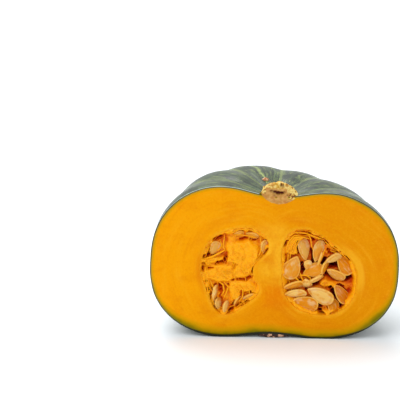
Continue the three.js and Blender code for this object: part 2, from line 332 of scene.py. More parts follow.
@dataclass(frozen=True)
class Chamber:
    """A seed chamber: the middle and outline of its mouth, its depth and what lies in it.

    The bed is how deep the pulp lies between its lumps. Bare is the stretch of the wall, in degrees,
    that no loose strand starts from, and draw is the seed of the strands' random draws.
    """

    middle: Place
    depth: float
    outline: tuple[Place, ...]
    seeds: tuple[Seed, ...]
    lumps: tuple[Lump, ...]
    crevices: tuple[Crevice, ...]
    cords: tuple[Cord, ...]
    bed: float
    bare: Place
    draw: int

    def reach(self, turns: np.ndarray) -> np.ndarray:
        """Gives how far the mouth reaches from its middle.

        Args:
            turns: The directions, in radians from +X towards +Z.

        Returns:
            The distance to the smoothed outline at each turn.
        """
        corners = np.array(self.outline) - np.array(self.middle)
        count = len(corners)
        along = np.arange(0, count, 0.125)
        first = along.astype(int)
        share = (along - first)[:, None]
        before, here, after, beyond = (corners[(first + step) % count] for step in (-1, 0, 1, 2))
        curve = 0.5 * (
            2 * here
            + (after - before) * share
            + (2 * before - 5 * here + 4 * after - beyond) * share**2
            + (3 * here - before - 3 * after + beyond) * share**3
        )
        angle = np.arctan2(curve[:, 1], curve[:, 0])
        order = np.argsort(angle)
        return np.interp(turns, angle[order], np.hypot(*curve.T)[order], period=2 * math.pi)

    def inside(self, x: np.ndarray, z: np.ndarray) -> np.ndarray:
        """Gives how far inside the mouth's outline each place is, below 0 outside it."""
        dx, dz = x - self.middle[0], z - self.middle[1]
        return self.reach(np.arctan2(dz, dx)) - np.hypot(dx, dz)


CHAMBERS: dict[Side, Chamber] = {
    Side.LEFT: Chamber(
        middle=(-30, -3),
        depth=38,
        outline=(
            (-53.4, -3), (-53.3, 3), (-52, 9), (-50.2, 15), (-47.6, 20), (-43.6, 24.2), (-37.5, 27.6),
            (-30, 30.4), (-22, 31.6), (-14, 30.4), (-8, 26.6), (-4.6, 21), (-4.2, 15), (-6.4, 10.4),
            (-10.4, 7), (-13.6, 3), (-15, -2), (-14, -7), (-10.8, -11.4), (-9.2, -16.6), (-11.2, -22),
            (-15, -26), (-19.4, -29.8), (-24.2, -34), (-29.4, -37.6), (-35, -38.6), (-40, -36.4),
            (-44, -31), (-47, -24), (-49.6, -17), (-52.2, -10),
        ),
        seeds=(
            Seed(-43.6, 13.8, 3.2, 10.6, 8.2, 66, 14, tone=0.42),
            Seed(-7.3, 16.8, 3.8, 10.5, 7.2, 82, 44, tone=0.3),
            Seed(-16.5, 24.8, 4.0, 9.4, 6.6, -10, 36, tone=0.5),
            Seed(-26.5, 25.6, 4.2, 7.4, 5.4, 12, 36, tone=0.55),
            Seed(-42.2, -22.1, 2.8, 12.4, 8.4, 84, 70, tone=0.05),
            Seed(-39.4, -31.0, 3.6, 9.4, 6.8, 98, 54, tone=0.2),
            Seed(-33.7, -33.4, 3.4, 10.4, 7.4, 84, 62, tone=0.1),
            Seed(-16.4, -24.2, 3.8, 9.6, 6.4, 20, 44, tone=0.3),
            Seed(-25.0, -28.4, 5.6, 9.6, 7.4, 60, 60, tone=0.7),
        ),
        lumps=(
            Lump(1.4, 0.9, (
                (-34.6, 18), (-28, 19), (-18.5, 20.8), (-12.6, 16.8), (-10.8, 9.4), (-13, 4.4),
                (-15.8, -1.6), (-17.4, -6.6), (-21, -8.8), (-29, -9.4), (-30, -2.6), (-27.5, 1.4), (-35, 2.6),
                (-34.4, 11.4),
            )),
            Lump(3.0, 0.6, (
                (-51.6, 4.2), (-46, 6.6), (-40, 6.2), (-36.4, 7.2), (-36.6, 2.4), (-44, 1.4), (-50.6, 0.8),
            )),
            Lump(2.2, 0.6, (
                (-49.6, -3.3), (-44, -0.1), (-37, 0.3), (-30, 0.7), (-29, -9.5), (-33, -12.5),
                (-39, -13.5), (-45, -11.9), (-49.6, -10.3),
            )),
            Lump(2.4, 0.8, (
                (-34, -14.6), (-27, -12.4), (-18, -11.6), (-12.4, -14.6), (-11.4, -20.4), (-17, -20.6),
                (-22.4, -20.4), (-23.6, -26.4), (-29, -27.4), (-31, -21),
            )),
            Lump(4.0, 0.4, ((-47.6, -13.6), (-43.6, -15), (-42.6, -19), (-46.4, -24.6))),
        ),
        crevices=(
            Crevice(7.9, ((-44.4, 20.2, 1.1), (-42, 21.2, 1.4), (-40, 22.2, 1.1))),
            Crevice(8.4, ((-50.9, 6.4, 1.2), (-48, 7.8, 1.3), (-43.4, 8.3, 0.8))),
            Crevice(6.1, ((-38.4, 8.8, 1.3), (-35.6, 9.6, 1.6), (-35.6, 6.2, 1.3))),
            Crevice(8.4, ((-42.2, 1, 1), (-39.1, 2.3, 1.1), (-36, 2.9, 1.1), (-35.4, 5.3, 1))),
            Crevice(3.6, ((-36, 2.9, 0.7), (-31.5, 2.9, 0.6), (-27, 1.7, 0.4))),
            Crevice(6.4, ((-51.4, 0.6, 1.1), (-51.8, -2.6, 1.0), (-51.6, -5, 0.7))),
            Crevice(5.8, ((-48.4, -3, 0.8), (-45.3, -2.2, 0.7))),
            Crevice(6.9, ((-14.6, -0.2, 0.8), (-15.6, -3.8, 0.8))),
            Crevice(7.9, ((-29.8, -11.2, 0.8), (-29.2, -11.3, 0.8))),
            Crevice(6.9, ((-26.4, -10.5, 0.8), (-19.6, -10.7, 0.8), (-15.4, -7.6, 0.7))),
            Crevice(7.9, ((-38.5, -15.6, 1.2), (-38.1, -19.8, 1.3))),
            Crevice(6.4, ((-32.6, -15, 0.7), (-35, -18.8, 0.8), (-38, -24.7, 1), (-37.3, -30.2, 1.1))),
            Crevice(5.8, ((-49.2, -12.8, 0.7), (-49, -13.4, 0.7))),
            Crevice(6.4, ((-47.8, -18.4, 0.7), (-47.7, -19.8, 0.8))),
            Crevice(5.8, (
                (-42.2, -15.9, 0.7), (-45.4, -23.5, 0.8), (-45.8, -28.2, 0.8), (-43.8, -33.1, 0.8),
            )),
            Crevice(7.9, ((-41.9, -33.4, 1.2), (-41.2, -34.6, 1.1))),
            Crevice(8.4, ((-27.4, -30.6, 1), (-26.2, -29.8, 1.4), (-25, -32.4, 1))),
            Crevice(6.9, ((-22.2, -29.8, 0.8), (-21.6, -31.4, 0.8))),
            Crevice(8.4, ((-29, -33.2, 1.1), (-29.4, -35.8, 1.1), (-32.8, -39, 0.8))),
            Crevice(7.4, ((-18.8, -28.4, 1.1), (-16.6, -27.8, 1))),
            Crevice(6.4, ((-16.6, -20.2, 0.8), (-15.4, -21.8, 0.8))),
            Crevice(5.8, ((-22.6, -19.6, 0.6), (-22.2, -23.8, 0.7), (-23.6, -26.8, 0.7))),
            Crevice(7.4, ((-25.4, 21, 0.8), (-23.4, 21.4, 1), (-20.4, 22.2, 0.6))),
            Crevice(6.9, ((-18.3, 21.5, 0.6), (-14.4, 21.4, 0.8), (-12.6, 22.2, 0.6))),
            Crevice(6.9, ((-4.6, 15.2, 0.7), (-6, 13.2, 0.8), (-7.6, 10.8, 0.6))),
            Crevice(3.6, ((-10, 13.1, 0.6), (-11.4, 10.1, 0.7))),
            Crevice(5.8, ((-6.6, 21.8, 0.6), (-5.4, 19.2, 0.7))),
            Crevice(5.8, ((-36.8, 24.4, 0.7), (-35.6, 20.2, 0.8))),
            Crevice(2.4, ((-30, 28.8, 0.5), (-24, 30, 0.5), (-17, 29.6, 0.5))),
            Crevice(3.6, ((-46.6, -24.9, 0.6), (-44.2, -32.5, 0.6), (-38.6, -37.9, 0.6))),
            Crevice(3.6, ((-24, -24.7, 0.6), (-19, -21.3, 0.6), (-12.4, -20.9, 0.4))),
        ),
        cords=(
            Cord(0.7, ((-51.4, 4.6, 2.6), (-46, 6.6, 2.2), (-41.4, 9.4, 1.9), (-36.4, 12.6, 1.6))),
            Cord(0.5, ((-36.8, 24.6, 4), (-37.4, 19, 3), (-37.6, 14, 3), (-35.6, 12, 2.2))),
            Cord(0.5, ((-49.4, -11, 1.6), (-47.6, -20, 1.6), (-46, -27, 1.6), (-42.6, -34, 2))),
            Cord(0.55, ((-46.4, -11.6, 2), (-43.8, -17, 2.4), (-43, -24, 3), (-42, -28, 3.4))),
            Cord(0.6, ((-40, -12.6, 2), (-36.4, -15, 2.2), (-35.4, -20, 2.4), (-37.4, -24.6, 3.4))),
            Cord(0.5, ((-36, -12.6, 2), (-32.4, -16.6, 2), (-34, -22, 2.4), (-35.6, -27, 3))),
            Cord(0.5, ((-24.6, -14.6, 1.8), (-21.4, -18.6, 1.8), (-21.6, -24.4, 2.4), (-24.4, -29, 3.4))),
            Cord(0.45, ((-20.4, -15, 1.8), (-16.8, -18.4, 2), (-16.4, -22, 2.4), (-19.6, -27.6, 3.6))),
            Cord(0.45, ((-30.2, -15, 2), (-25.6, -17.6, 1.8), (-24, -22, 2), (-26.4, -27, 3.4))),
            Cord(0.5, ((-35, 27, 1.8), (-27, 29.6, 1.6), (-18, 30.2, 1.6), (-9.4, 26.4, 1.8))),
            Cord(0.4, ((-31, 24.4, 3), (-25, 25, 2.8), (-20, 24.6, 2.8), (-13, 23.4, 2.8))),
            Cord(0.5, ((-10.6, 24, 2.4), (-9.6, 18, 2.2), (-9.8, 13.4, 1.8), (-11.2, 9.6, 1.6))),
            Cord(0.4, ((-46.6, 10.8, 4), (-41, 12, 2.6), (-38.6, 16, 2.8), (-40.6, 20.6, 3.4))),
        ),
        bed=4.2,
        bare=(60, 120),
        draw=11,
    ),
    Side.RIGHT: Chamber(
        middle=(34, -1.5),
        depth=38,
        outline=(
            (7, 21.6), (10, 28.4), (16, 32), (24, 32.2), (31, 29.8), (37, 26.6), (43, 22), (49, 16.6),
            (55, 11.8), (59.4, 6), (61.6, -2), (62, -11), (60.6, -19), (56.6, -26), (51, -31.4),
            (44, -34.4), (36, -34.8), (28, -33.8), (20, -31), (13.4, -25.4), (9, -18), (7.2, -9.6),
            (6.4, -1), (6, 7), (6, 15),
        ),
        seeds=(
            Seed(21.8, 16.0, 5.0, 17.0, 8.4, 102, 22, 8, tone=0.38),
            Seed(25.3, 4.2, 3.2, 8.0, 6.0, 80, 20, -12, tone=0.0),
            Seed(32.7, 15.2, 5.0, 16.6, 8.6, 76, 16, 6, tone=0.42),
            Seed(13.9, 1.0, 2.2, 18.6, 12.6, 250, 4, tone=0.5),
            Seed(29.9, -0.3, 3.8, 15.2, 9.6, 26, -14, tone=0.6),
            Seed(34.4, 8.6, 5.4, 12.0, 7.6, 76, 80, tone=0.5),
            Seed(37.9, 2.0, 4.2, 12.0, 7.4, 74, 58, tone=0.72),
            Seed(44.2, 10.0, 3.4, 12.6, 8.4, 30, 34, tone=0.16),
            Seed(53.0, 4.2, 4.6, 15.4, 11.2, -46, -20, -6, tone=0.74),
            Seed(47.0, -2.8, 3.4, 14.6, 9.4, -26, 30, tone=0.5),
            Seed(15.9, -13.2, 2.6, 15.6, 8.8, 20, 34, tone=0.6),
            Seed(17.8, -19.2, 2.2, 16.6, 10.0, 6, 40, tone=0.02),
            Seed(26.0, -27.2, 3.4, 18.5, 12.8, -16, 6, tone=0.66),
            Seed(36.5, -19.5, 1.9, 20.6, 12.8, -26, 12, tone=0.08),
            Seed(51.9, -18.8, 4.4, 17.0, 9.8, -52, -30, 4, tone=0.85),
            Seed(46.8, -29.8, 4.8, 13.6, 9.0, 108, 18, 8, tone=0.7),
            Seed(25.5, -10.8, 3.0, 9.4, 7.6, -70, 14, 30, tone=0.0),
            Seed(31.9, -7.8, 3.8, 13.4, 8.4, 32, 56, tone=0.1),
        ),
        lumps=(
            Lump(3.6, 0.8, (
                (34.4, -8.8), (39.6, -6.4), (45, -9.4), (48, -11), (47.6, -13.8), (43, -13.8), (37, -13.4),
                (34.6, -12),
            )),
            Lump(5.4, 0.8, (
                (48, -10.8), (54, -10), (60.6, -10.2), (61, -18.2), (57, -24.2), (54, -19.2), (48.6, -13),
            )),
            Lump(2.8, 0.6, (
                (8, 12.9), (9, 21.9), (13, 26.5), (19, 27.3), (25, 25.9), (18.8, 22.7), (17.4, 11.9),
                (12, 10.5),
            )),
            Lump(4.4, 0.6, (
                (38, 20.2), (44, 16.8), (50.6, 11.8), (49.4, 9.8), (43, 13), (38, 13.2), (37, 16.2),
            )),
            Lump(4.8, 0.6, ((18, -5.9), (24, -5.3), (28, -7.9), (26, -13.9), (20, -15.9), (13, -9.9))),
            Lump(5.2, 0.6, ((28, -26.1), (34, -26.1), (35, -31.1), (32, -33.1), (27, -31.1))),
            Lump(5.6, 0.6, ((39, -28.2), (43, -28.2), (43, -35.2), (38, -34.6))),
        ),
        crevices=(
            Crevice(16, ((42.6, 3.4, 1.4), (44.3, 4.2, 1.8), (46, 5.2, 1.3))),
            Crevice(10.7, ((44.4, 4.4, 1.1), (47.2, 3.4, 1.1), (49.8, 2.2, 0.8))),
            Crevice(12.2, ((33.3, 25, 0.8), (36, 24.2, 1.1), (38.3, 21.8, 1.3))),
            Crevice(10.7, ((44.3, 19, 0.8), (44.5, 18.3, 0.8))),
            Crevice(7.8, ((39.6, 16.2, 1), (42, 13.2, 1), (48, 15.5, 0.8))),
            Crevice(9.3, ((49.4, 12.4, 0.8), (52.6, 11.7, 0.8), (55.9, 9.6, 0.7))),
            Crevice(11.3, ((38.1, 8.6, 1), (36.8, 4.8, 1.1), (36, 1.6, 1))),
            Crevice(11.3, ((24.8, 1.2, 0.7), (28.7, 4.1, 0.8), (33, 6.2, 0.6))),
            Crevice(10.7, ((20.8, 3.8, 0.8), (21.6, 0.8, 1.2), (22.3, -2.6, 1.2))),
            Crevice(10, ((27.2, 15.4, 0.7), (28.6, 10.5, 0.8), (28.7, 5.8, 0.8))),
            Crevice(8.6, ((17.6, 21.8, 0.8), (17.8, 15.8, 0.8), (18.6, 12.4, 0.8))),
            Crevice(12.2, ((30.2, -12, 1.1), (33.2, -10.4, 1.5), (35.1, -6.9, 1.1), (37.5, -4.2, 1.1))),
            Crevice(12.2, ((37.5, -4.2, 1.1), (40.6, -3.1, 1.4), (43.1, -5, 1.1), (46.6, -6.9, 1))),
            Crevice(11.3, ((46.6, -6.9, 1.1), (49.8, -7.7, 1.1), (54.5, -6.7, 1.1), (57.5, -4.9, 0.8))),
            Crevice(8.6, ((19.4, -9.4, 0.7), (20.6, -9.6, 0.7))),
            Crevice(10.7, ((25.2, -15.8, 0.8), (25.4, -16.8, 0.8))),
            Crevice(12.2, ((43.2, -13.8, 1.2), (45.1, -16.6, 1.2), (46.7, -20.5, 1.1), (49.5, -23.8, 1.1))),
            Crevice(11.3, ((49.5, -23.8, 1.1), (53.2, -25.3, 1.1), (51.3, -28.6, 1))),
            Crevice(12.2, ((36.6, -27.6, 0.8), (36.7, -32.6, 1.3), (39.1, -34.4, 1.1))),
            Crevice(9.3, ((31.6, -32.4, 0.7), (33, -32, 0.8))),
            Crevice(9.3, ((45.2, -34, 0.8), (49.2, -31.4, 0.8))),
            Crevice(3.6, ((16, 30.7, 0.7), (19.9, 31.5, 1.1), (25.6, 30.7, 0.7))),
            Crevice(3.6, ((11.4, 26.1, 0.7), (15.9, 27.9, 0.8), (22.3, 27.1, 0.7))),
            Crevice(7.8, ((7.6, 18.2, 0.6), (9.2, 22.5, 0.6))),
            Crevice(8.6, ((26.4, 23.8, 0.8), (28.6, 23, 1))),
            Crevice(9.3, ((48.6, -12, 1), (52.4, -12.6, 1))),
            Crevice(7.8, ((51, -14.2, 1.3), (55.6, -17.6, 1.5), (57.4, -15.2, 1.3))),
            Crevice(7.8, ((41.4, 9.8, 0.7), (40.4, 6.4, 0.8))),
            Crevice(3.6, ((10.6, -14.3, 0.4), (12.6, -9.3, 0.6))),
            Crevice(7.8, ((30.2, -29.2, 0.7), (32.6, -26.8, 0.7))),
        ),
        cords=(
            Cord(0.45, ((23.6, 30, 2.6), (26.4, 24.6, 2.4), (27.4, 19, 3.4), (29, 14, 5))),
            Cord(0.5, ((9, 24.6, 1.6), (14, 29.4, 1.8), (22, 29.4, 1.8), (31, 26.2, 2.4), (37, 24.2, 3))),
            Cord(0.45, ((11, 21, 2), (14.4, 25.6, 2.2), (20.6, 25.8, 2.6), (27, 24, 3.4))),
            Cord(0.5, ((8.6, 15, 1.6), (9.8, 21, 1.8), (13.6, 26.6, 2.4), (18.6, 27.4, 3))),
            Cord(0.5, ((12.4, 12.6, 2), (12.6, 18, 2.2), (15.4, 23.4, 2.6), (20, 24.6, 3.6))),
            Cord(0.5, ((16.6, 12, 3), (16, 17, 3), (17.4, 22, 3.4), (22, 25.6, 4.4))),
            Cord(0.45, ((37.4, 17.4, 3), (36, 12, 2.8), (34.2, 7, 3), (33.4, 2.6, 3.6))),
            Cord(0.5, ((40.6, 22, 3), (45.6, 17.8, 2.8), (50.6, 13.4, 3), (55, 9.8, 3))),
            Cord(0.45, ((41, 16, 3.4), (45.6, 14.8, 3.4), (49.6, 11.8, 4), (52, 10.6, 4.4))),
            Cord(0.6, ((12.6, -6, 2), (17, -6.2, 2), (20, -9.4, 2), (24.6, -9, 2.4))),
            Cord(0.5, ((20, -2.4, 3), (21.4, -6.4, 2.4), (23.6, -9.6, 2.4), (27, -12, 3))),
            Cord(0.55, ((18.4, -4.6, 3), (24.6, -4.4, 3), (28, -6.4, 3), (27.4, -11, 2.8))),
            Cord(0.5, ((34, -24.6, 4), (34.6, -29, 4.4), (32.6, -32, 3.6))),
            Cord(0.5, ((38.6, -26, 5), (41.4, -30.4, 4.6), (40.6, -33.6, 4))),
        ),
        bed=5.9,
        bare=(-75, 40),
        draw=23,
    ),
}


# Working with Blender


def deselect() -> None:
    """Leaves edit mode and deselects everything."""
    if bpy.context.object and bpy.context.object.mode != "OBJECT":
        bpy.ops.object.mode_set(mode="OBJECT")
    bpy.ops.object.select_all(action="DESELECT")


def pick(*pieces: bpy.types.Object) -> None:
    """Selects only some objects.

    Args:
        pieces: The objects, of which the first is made active.
    """
    deselect()
    for piece in pieces:
        piece.select_set(True)
    bpy.context.view_layer.objects.active = pieces[0]


def read_vertices(piece: bpy.types.Object, what: str = "co") -> np.ndarray:
    """Reads a vector from each of a mesh's vertices.

    Args:
        piece: The mesh's object.
        what: The vertex property, such as its place or its normal.

    Returns:
        One row for each vertex.
    """
    flat = np.empty(len(piece.data.vertices) * 3)
    piece.data.vertices.foreach_get(what, flat)
    return flat.reshape(-1, 3)


def set_points(piece: bpy.types.Object, points: np.ndarray) -> None:
    """Moves a mesh's vertices to these places."""
    piece.data.vertices.foreach_set("co", np.ascontiguousarray(points, float).ravel())
    piece.data.update()


def set_attributes(piece: bpy.types.Object, **values: np.ndarray) -> None:
    """Stores values at a mesh's vertices, where a material can read them.

    Args:
        piece: The mesh's object.
        values: One number or one vector for each vertex, under the attribute's name.
    """
    for name, rows in values.items():
        kind, slot = ("FLOAT_VECTOR", "vector") if rows.ndim == 2 else ("FLOAT", "value")
        layer = piece.data.attributes.new(name, kind, "POINT")
        layer.data.foreach_set(slot, np.ascontiguousarray(rows, np.float32).ravel())


def delete_vertices(piece: bpy.types.Object, chosen: np.ndarray) -> None:
    """Removes some of a mesh's vertices.

    Args:
        piece: The mesh's object.
        chosen: Which vertices go, true or false for each.
    """
    pick(piece)
    bpy.ops.object.mode_set(mode="EDIT")
    bpy.ops.mesh.select_mode(type="VERT")
    bpy.ops.mesh.select_all(action="DESELECT")
    bpy.ops.object.mode_set(mode="OBJECT")
    piece.data.vertices.foreach_set("select", np.asarray(chosen, bool))
    bpy.ops.object.mode_set(mode="EDIT")
    bpy.ops.mesh.delete(type="VERT")
    bpy.ops.object.mode_set(mode="OBJECT")


def shaped_sphere(
    segments: int, rings: int, rule: Callable[[np.ndarray], np.ndarray]
) -> bpy.types.Object:
    """Adds a sphere with its poles on Z and shapes it by a rule.

    Args:
        segments: How many faces it has round the axis.
        rings: How many faces it has from pole to pole.
        rule: Takes all the unit sphere's places at once and gives where they go.

    Returns:
        The shaped mesh's object.
    """
    deselect()
    bpy.ops.mesh.primitive_uv_sphere_add(segments=segments, ring_count=rings, radius=1.0)
    piece = bpy.context.object
    set_points(piece, rule(read_vertices(piece)))
    return piece


def turn_and_fall(points: np.ndarray) -> tuple[np.ndarray, np.ndarray]:
    """Gives the turn about Z and the angle from the upper pole of a unit sphere's places."""
    return np.arctan2(points[:, 1], points[:, 0]), np.arccos(np.clip(points[:, 2], -1, 1))


def apply_modifier(piece: bpy.types.Object, kind: str, **settings: Any) -> None:
    """Adds a modifier and applies it.

    Args:
        piece: The mesh's object.
        kind: The modifier's Blender type.
        settings: Its properties.
    """
    pick(piece)
    modifier = piece.modifiers.new(kind.lower(), kind)
    for name, value in settings.items():
        setattr(modifier, name, value)
    bpy.ops.object.modifier_apply(modifier=modifier.name)


def cut_front(piece: bpy.types.Object, fill: bool) -> None:
    """Cuts off what is in front of the knife's plane.

    Args:
        piece: The mesh to cut, in the fruit's frame.
        fill: Whether the cut is closed with a face.
    """
    pick(piece)
    bpy.ops.object.mode_set(mode="EDIT")
    bpy.ops.mesh.select_all(action="SELECT")
    bpy.ops.mesh.bisect(
        plane_co=(0, 0, 0), plane_no=(0, 1, 0), use_fill=fill, clear_inner=True, threshold=1e-4
    )
    bpy.ops.object.mode_set(mode="OBJECT")


def carve(piece: bpy.types.Object, tool: bpy.types.Object) -> None:
    """Cuts a tool's shape out of a piece and removes the tool."""
    apply_modifier(piece, "BOOLEAN", operation="DIFFERENCE", solver="EXACT", object=tool)
    bpy.data.objects.remove(tool)


def join(pieces: Sequence[bpy.types.Object]) -> bpy.types.Object:
    """Joins several meshes.

    Args:
        pieces: The meshes' objects.

    Returns:
        The first of them, which now holds all.
    """
    pick(*pieces)
    if len(pieces) > 1:
        bpy.ops.object.join()
    return bpy.context.object


def hand_over(
    piece: bpy.types.Object,
    name: str,
    finish: bpy.types.Material,
    slot: str,
    *nodes: str,
    crease: float = 180,
) -> None:
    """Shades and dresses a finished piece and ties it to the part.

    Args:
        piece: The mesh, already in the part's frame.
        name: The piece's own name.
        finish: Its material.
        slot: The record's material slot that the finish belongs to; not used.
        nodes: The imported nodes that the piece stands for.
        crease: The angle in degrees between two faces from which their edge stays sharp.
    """
    pick(piece)
    if crease >= 180:
        bpy.ops.object.shade_smooth()
    else:
        bpy.ops.object.shade_smooth_by_angle(angle=math.radians(crease))
    piece.name = piece.data.name = name
    piece.data.materials.clear()
    piece.data.materials.append(finish)
    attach(piece, BODY)
    if nodes:
        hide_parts(*nodes)
    LOG.info("%s: %d faces", name, len(piece.data.polygons))


# Shader graphs


class Wire:
    """A shader output that takes part in Python arithmetic."""

    def __init__(self, graph: "Graph", socket: bpy.types.NodeSocket) -> None:
        """Keeps the socket and the graph that it belongs to."""
        self.graph = graph
        self.socket = socket

    def _math(self, operation: str, *terms: Any) -> "Wire":
        """Adds a Math node on these terms."""
        return self.graph.node("ShaderNodeMath", {"operation": operation}, dict(enumerate(terms)))

    def __add__(self, other: Any) -> "Wire":
        """Adds."""
        return self._math("ADD", self, other)

    __radd__ = __add__

    def __mul__(self, other: Any) -> "Wire":
        """Multiplies."""
        return self._math("MULTIPLY", self, other)

    __rmul__ = __mul__

    def __sub__(self, other: Any) -> "Wire":
        """Takes other away from this."""
        return self._math("SUBTRACT", self, other)

    def __rsub__(self, other: Any) -> "Wire":
        """Takes this away from other."""
        return self._math("SUBTRACT", other, self)

    def size(self) -> "Wire":
        """Drops the sign."""
        return self._math("ABSOLUTE", self)

    def step(self, low: float, high: float, start: float = 0.0, end: float = 1.0) -> "Wire":
        """Goes smoothly from start at low to end at high."""
        return self.graph.node(
            "ShaderNodeMapRange",
            {"interpolation_type": "SMOOTHSTEP"},
            {"Value": self, "From Min": low, "From Max": high, "To Min": start, "To Max": end},
        )


Coat = tuple[Wire, Colour]


class Graph:
    """A material's node tree, built from Python expressions."""

    def __init__(self, name: str) -> None:
        """Starts an empty material.

        Args:
            name: The material's name.
        """
        self.material = bpy.data.materials.new(name)
        self.material.use_nodes = True
        self.tree = self.material.node_tree
        self.tree.nodes.clear()

    def node(
        self, kind: str, settings: dict[str, Any], inputs: dict[Any, Any], output: Any = 0
    ) -> Wire:
        """Adds a node.

        Args:
            kind: The node's Blender type.
            settings: Its properties, and a ramp's colours under "stops".
            inputs: A value or a wire for each socket, by name or number.
            output: The name or number of the socket that the result comes from.

        Returns:
            The wire of that output.
        """
        made = self.tree.nodes.new(kind)
        for name, value in settings.items():
            if name == "stops":
                self._set_stops(made.color_ramp, value)
            else:
                setattr(made, name, value)
        for name, value in inputs.items():
            socket = made.inputs[name]
            if isinstance(value, Wire):
                self.tree.links.new(value.socket, socket)
            elif socket.type == "RGBA" and len(value) == 3:
                socket.default_value = (*value, 1.0)
            else:
                socket.default_value = value
        return Wire(self, made.outputs[output])

    @staticmethod
    def _set_stops(ramp: bpy.types.ColorRamp, stops: Sequence[tuple[float, Colour]]) -> None:
        """Gives a colour ramp its stops.

        Args:
            ramp: The ramp, of which one stop is kept and used first.
            stops: The place from 0 to 1 and the colour of each.
        """
        while len(ramp.elements) > 1:
            ramp.elements.remove(ramp.elements[-1])
        for number, (place, colour) in enumerate(stops):
            element = ramp.elements[0] if number == 0 else ramp.elements.new(place)
            element.position = place
            element.color = (*colour, 1.0)

    def attribute(self, name: str, output: str = "Fac") -> Wire:
        """Reads what a mesh stores at its vertices."""
        return self.node("ShaderNodeAttribute", {"attribute_name": name}, {}, output)

    def place(self) -> Wire:
        """Reads the place in the part's frame, in metres."""
        return self.node("ShaderNodeTexCoord", {}, {}, "Object")

    def along(self, axis: str) -> Wire:
        """Reads one coordinate of the place, in millimetres."""
        return self.node("ShaderNodeSeparateXYZ", {}, {0: self.place()}, axis) * (1 / MM)

    def vector(self, x: Wire, y: Wire, z: Wire | float = 0.0) -> Wire:
        """Puts three values together."""
        return self.node("ShaderNodeCombineXYZ", {}, {"X": x, "Y": y, "Z": z})

    def stretched(self, vector: Wire, scale: Triple) -> Wire:
        """Scales a vector along its axes."""
        return self.node("ShaderNodeMapping", {}, {"Vector": vector, "Scale": scale})

    def cloud(
        self, vector: Wire, scale: float | Triple, detail: float = 3.0, rough: float = 0.55
    ) -> Wire:
        """Gives soft noise over a vector.

        Args:
            vector: Where the noise is read.
            scale: How often it repeats, alike along all axes or one by one.
            detail: How many finer layers it has.
            rough: How strong each finer layer is.

        Returns:
            The noise, from 0 to 1.
        """
        if isinstance(scale, tuple):
            vector, scale = self.stretched(vector, scale), 1.0
        inputs = {"Vector": vector, "Scale": scale, "Detail": detail, "Roughness": rough}
        return self.node("ShaderNodeTexNoise", {}, inputs)

    def cells(self, vector: Wire, scale: float) -> Wire:
        """Gives the distance to the nearest of many scattered points."""
        return self.node("ShaderNodeTexVoronoi", {}, {"Vector": vector, "Scale": scale}, "Distance")

    def ramp(self, value: Wire, *stops: tuple[float, Colour]) -> Wire:
        """Turns a value from 0 to 1 into a colour."""
        return self.node("ShaderNodeValToRGB", {"stops": stops}, {0: value})

    def mix(self, factor: Wire, first: Any, second: Any) -> Wire:
        """Mixes two colours, from the first at factor 0 to the second at 1."""
        return self.node("ShaderNodeMix", {"data_type": "RGBA"}, {0: factor, 6: first, 7: second}, 2)

    def paint(self, tint: Wire, *coats: Coat) -> Wire:
        """Lays coats of colour over each other.

        Args:
            tint: The colour underneath.
            coats: How much each coat covers, from 0 to 1, and its colour.

        Returns:
            The colour on top.
        """
        for cover, colour in coats:
            tint = self.mix(cover, tint, colour)
        return tint

    def bump(self, height: Wire, strength: float, distance_mm: float, under: Wire | None = None) -> Wire:
        """Tilts the surface by a height.

        Args:
            height: The height, from 0 to 1.
            strength: How much of the tilt is used.
            distance_mm: What a height of 1 stands for, in millimetres.
            under: A coarser or finer bump that this one is added to.

        Returns:
            The tilted normal.
        """
        inputs: dict[str, Any] = {"Height": height, "Strength": strength, "Distance": distance_mm * MM}
        if under is not None:
            inputs["Normal"] = under
        return self.node("ShaderNodeBump", {}, inputs)

    def finish(self, **sockets: Any) -> bpy.types.Material:
        """Ends the graph in a Principled surface.

        Args:
            sockets: A value or a wire for each socket, with its name's spaces written as underscores.

        Returns:
            The finished material.
        """
        named = {name.replace("_", " "): value for name, value in sockets.items()}
        surface = self.node("ShaderNodeBsdfPrincipled", {}, named)
        output = self.tree.nodes.new("ShaderNodeOutputMaterial")
        self.tree.links.new(surface.socket, output.inputs["Surface"])
        return self.material


# Finishes


def section(graph: Graph, flesh: Wire | Colour, rim: Wire) -> Wire:
    """Colours a cut from the skin inwards: a dark line, a green-yellow band and then the flesh.

    Args:
        graph: The material's graph.
        flesh: The colour of the flesh away from the skin.
        rim: How far in from the skin, in millimetres.

    Returns:
        The colour of the cut.
    """
    z = graph.along("Z")
    # The dark line and the green-yellow band widen towards the floor; there the dark line's widening is
    # partly the rind's own dark edge and partly painted shade along the bottom.
    narrow = z.step(2, 48, 0.3, 1.0) + graph.along("X").step(55, 85, 0, -0.3)
    uneven = rim * narrow + (graph.cloud(graph.place(), 45) - 0.5) * 2.2
    line = rim * z.step(2, 18, 0.26, 1.0)
    inner = graph.mix(uneven.step(0.8, 3.8), srgb(196, 146, 0), flesh)
    band = graph.mix(uneven.step(0, 1.9), srgb(108, 106, 6), inner)
    return graph.mix(line.step(0.3, 0.85), srgb(14, 22, 5), band)


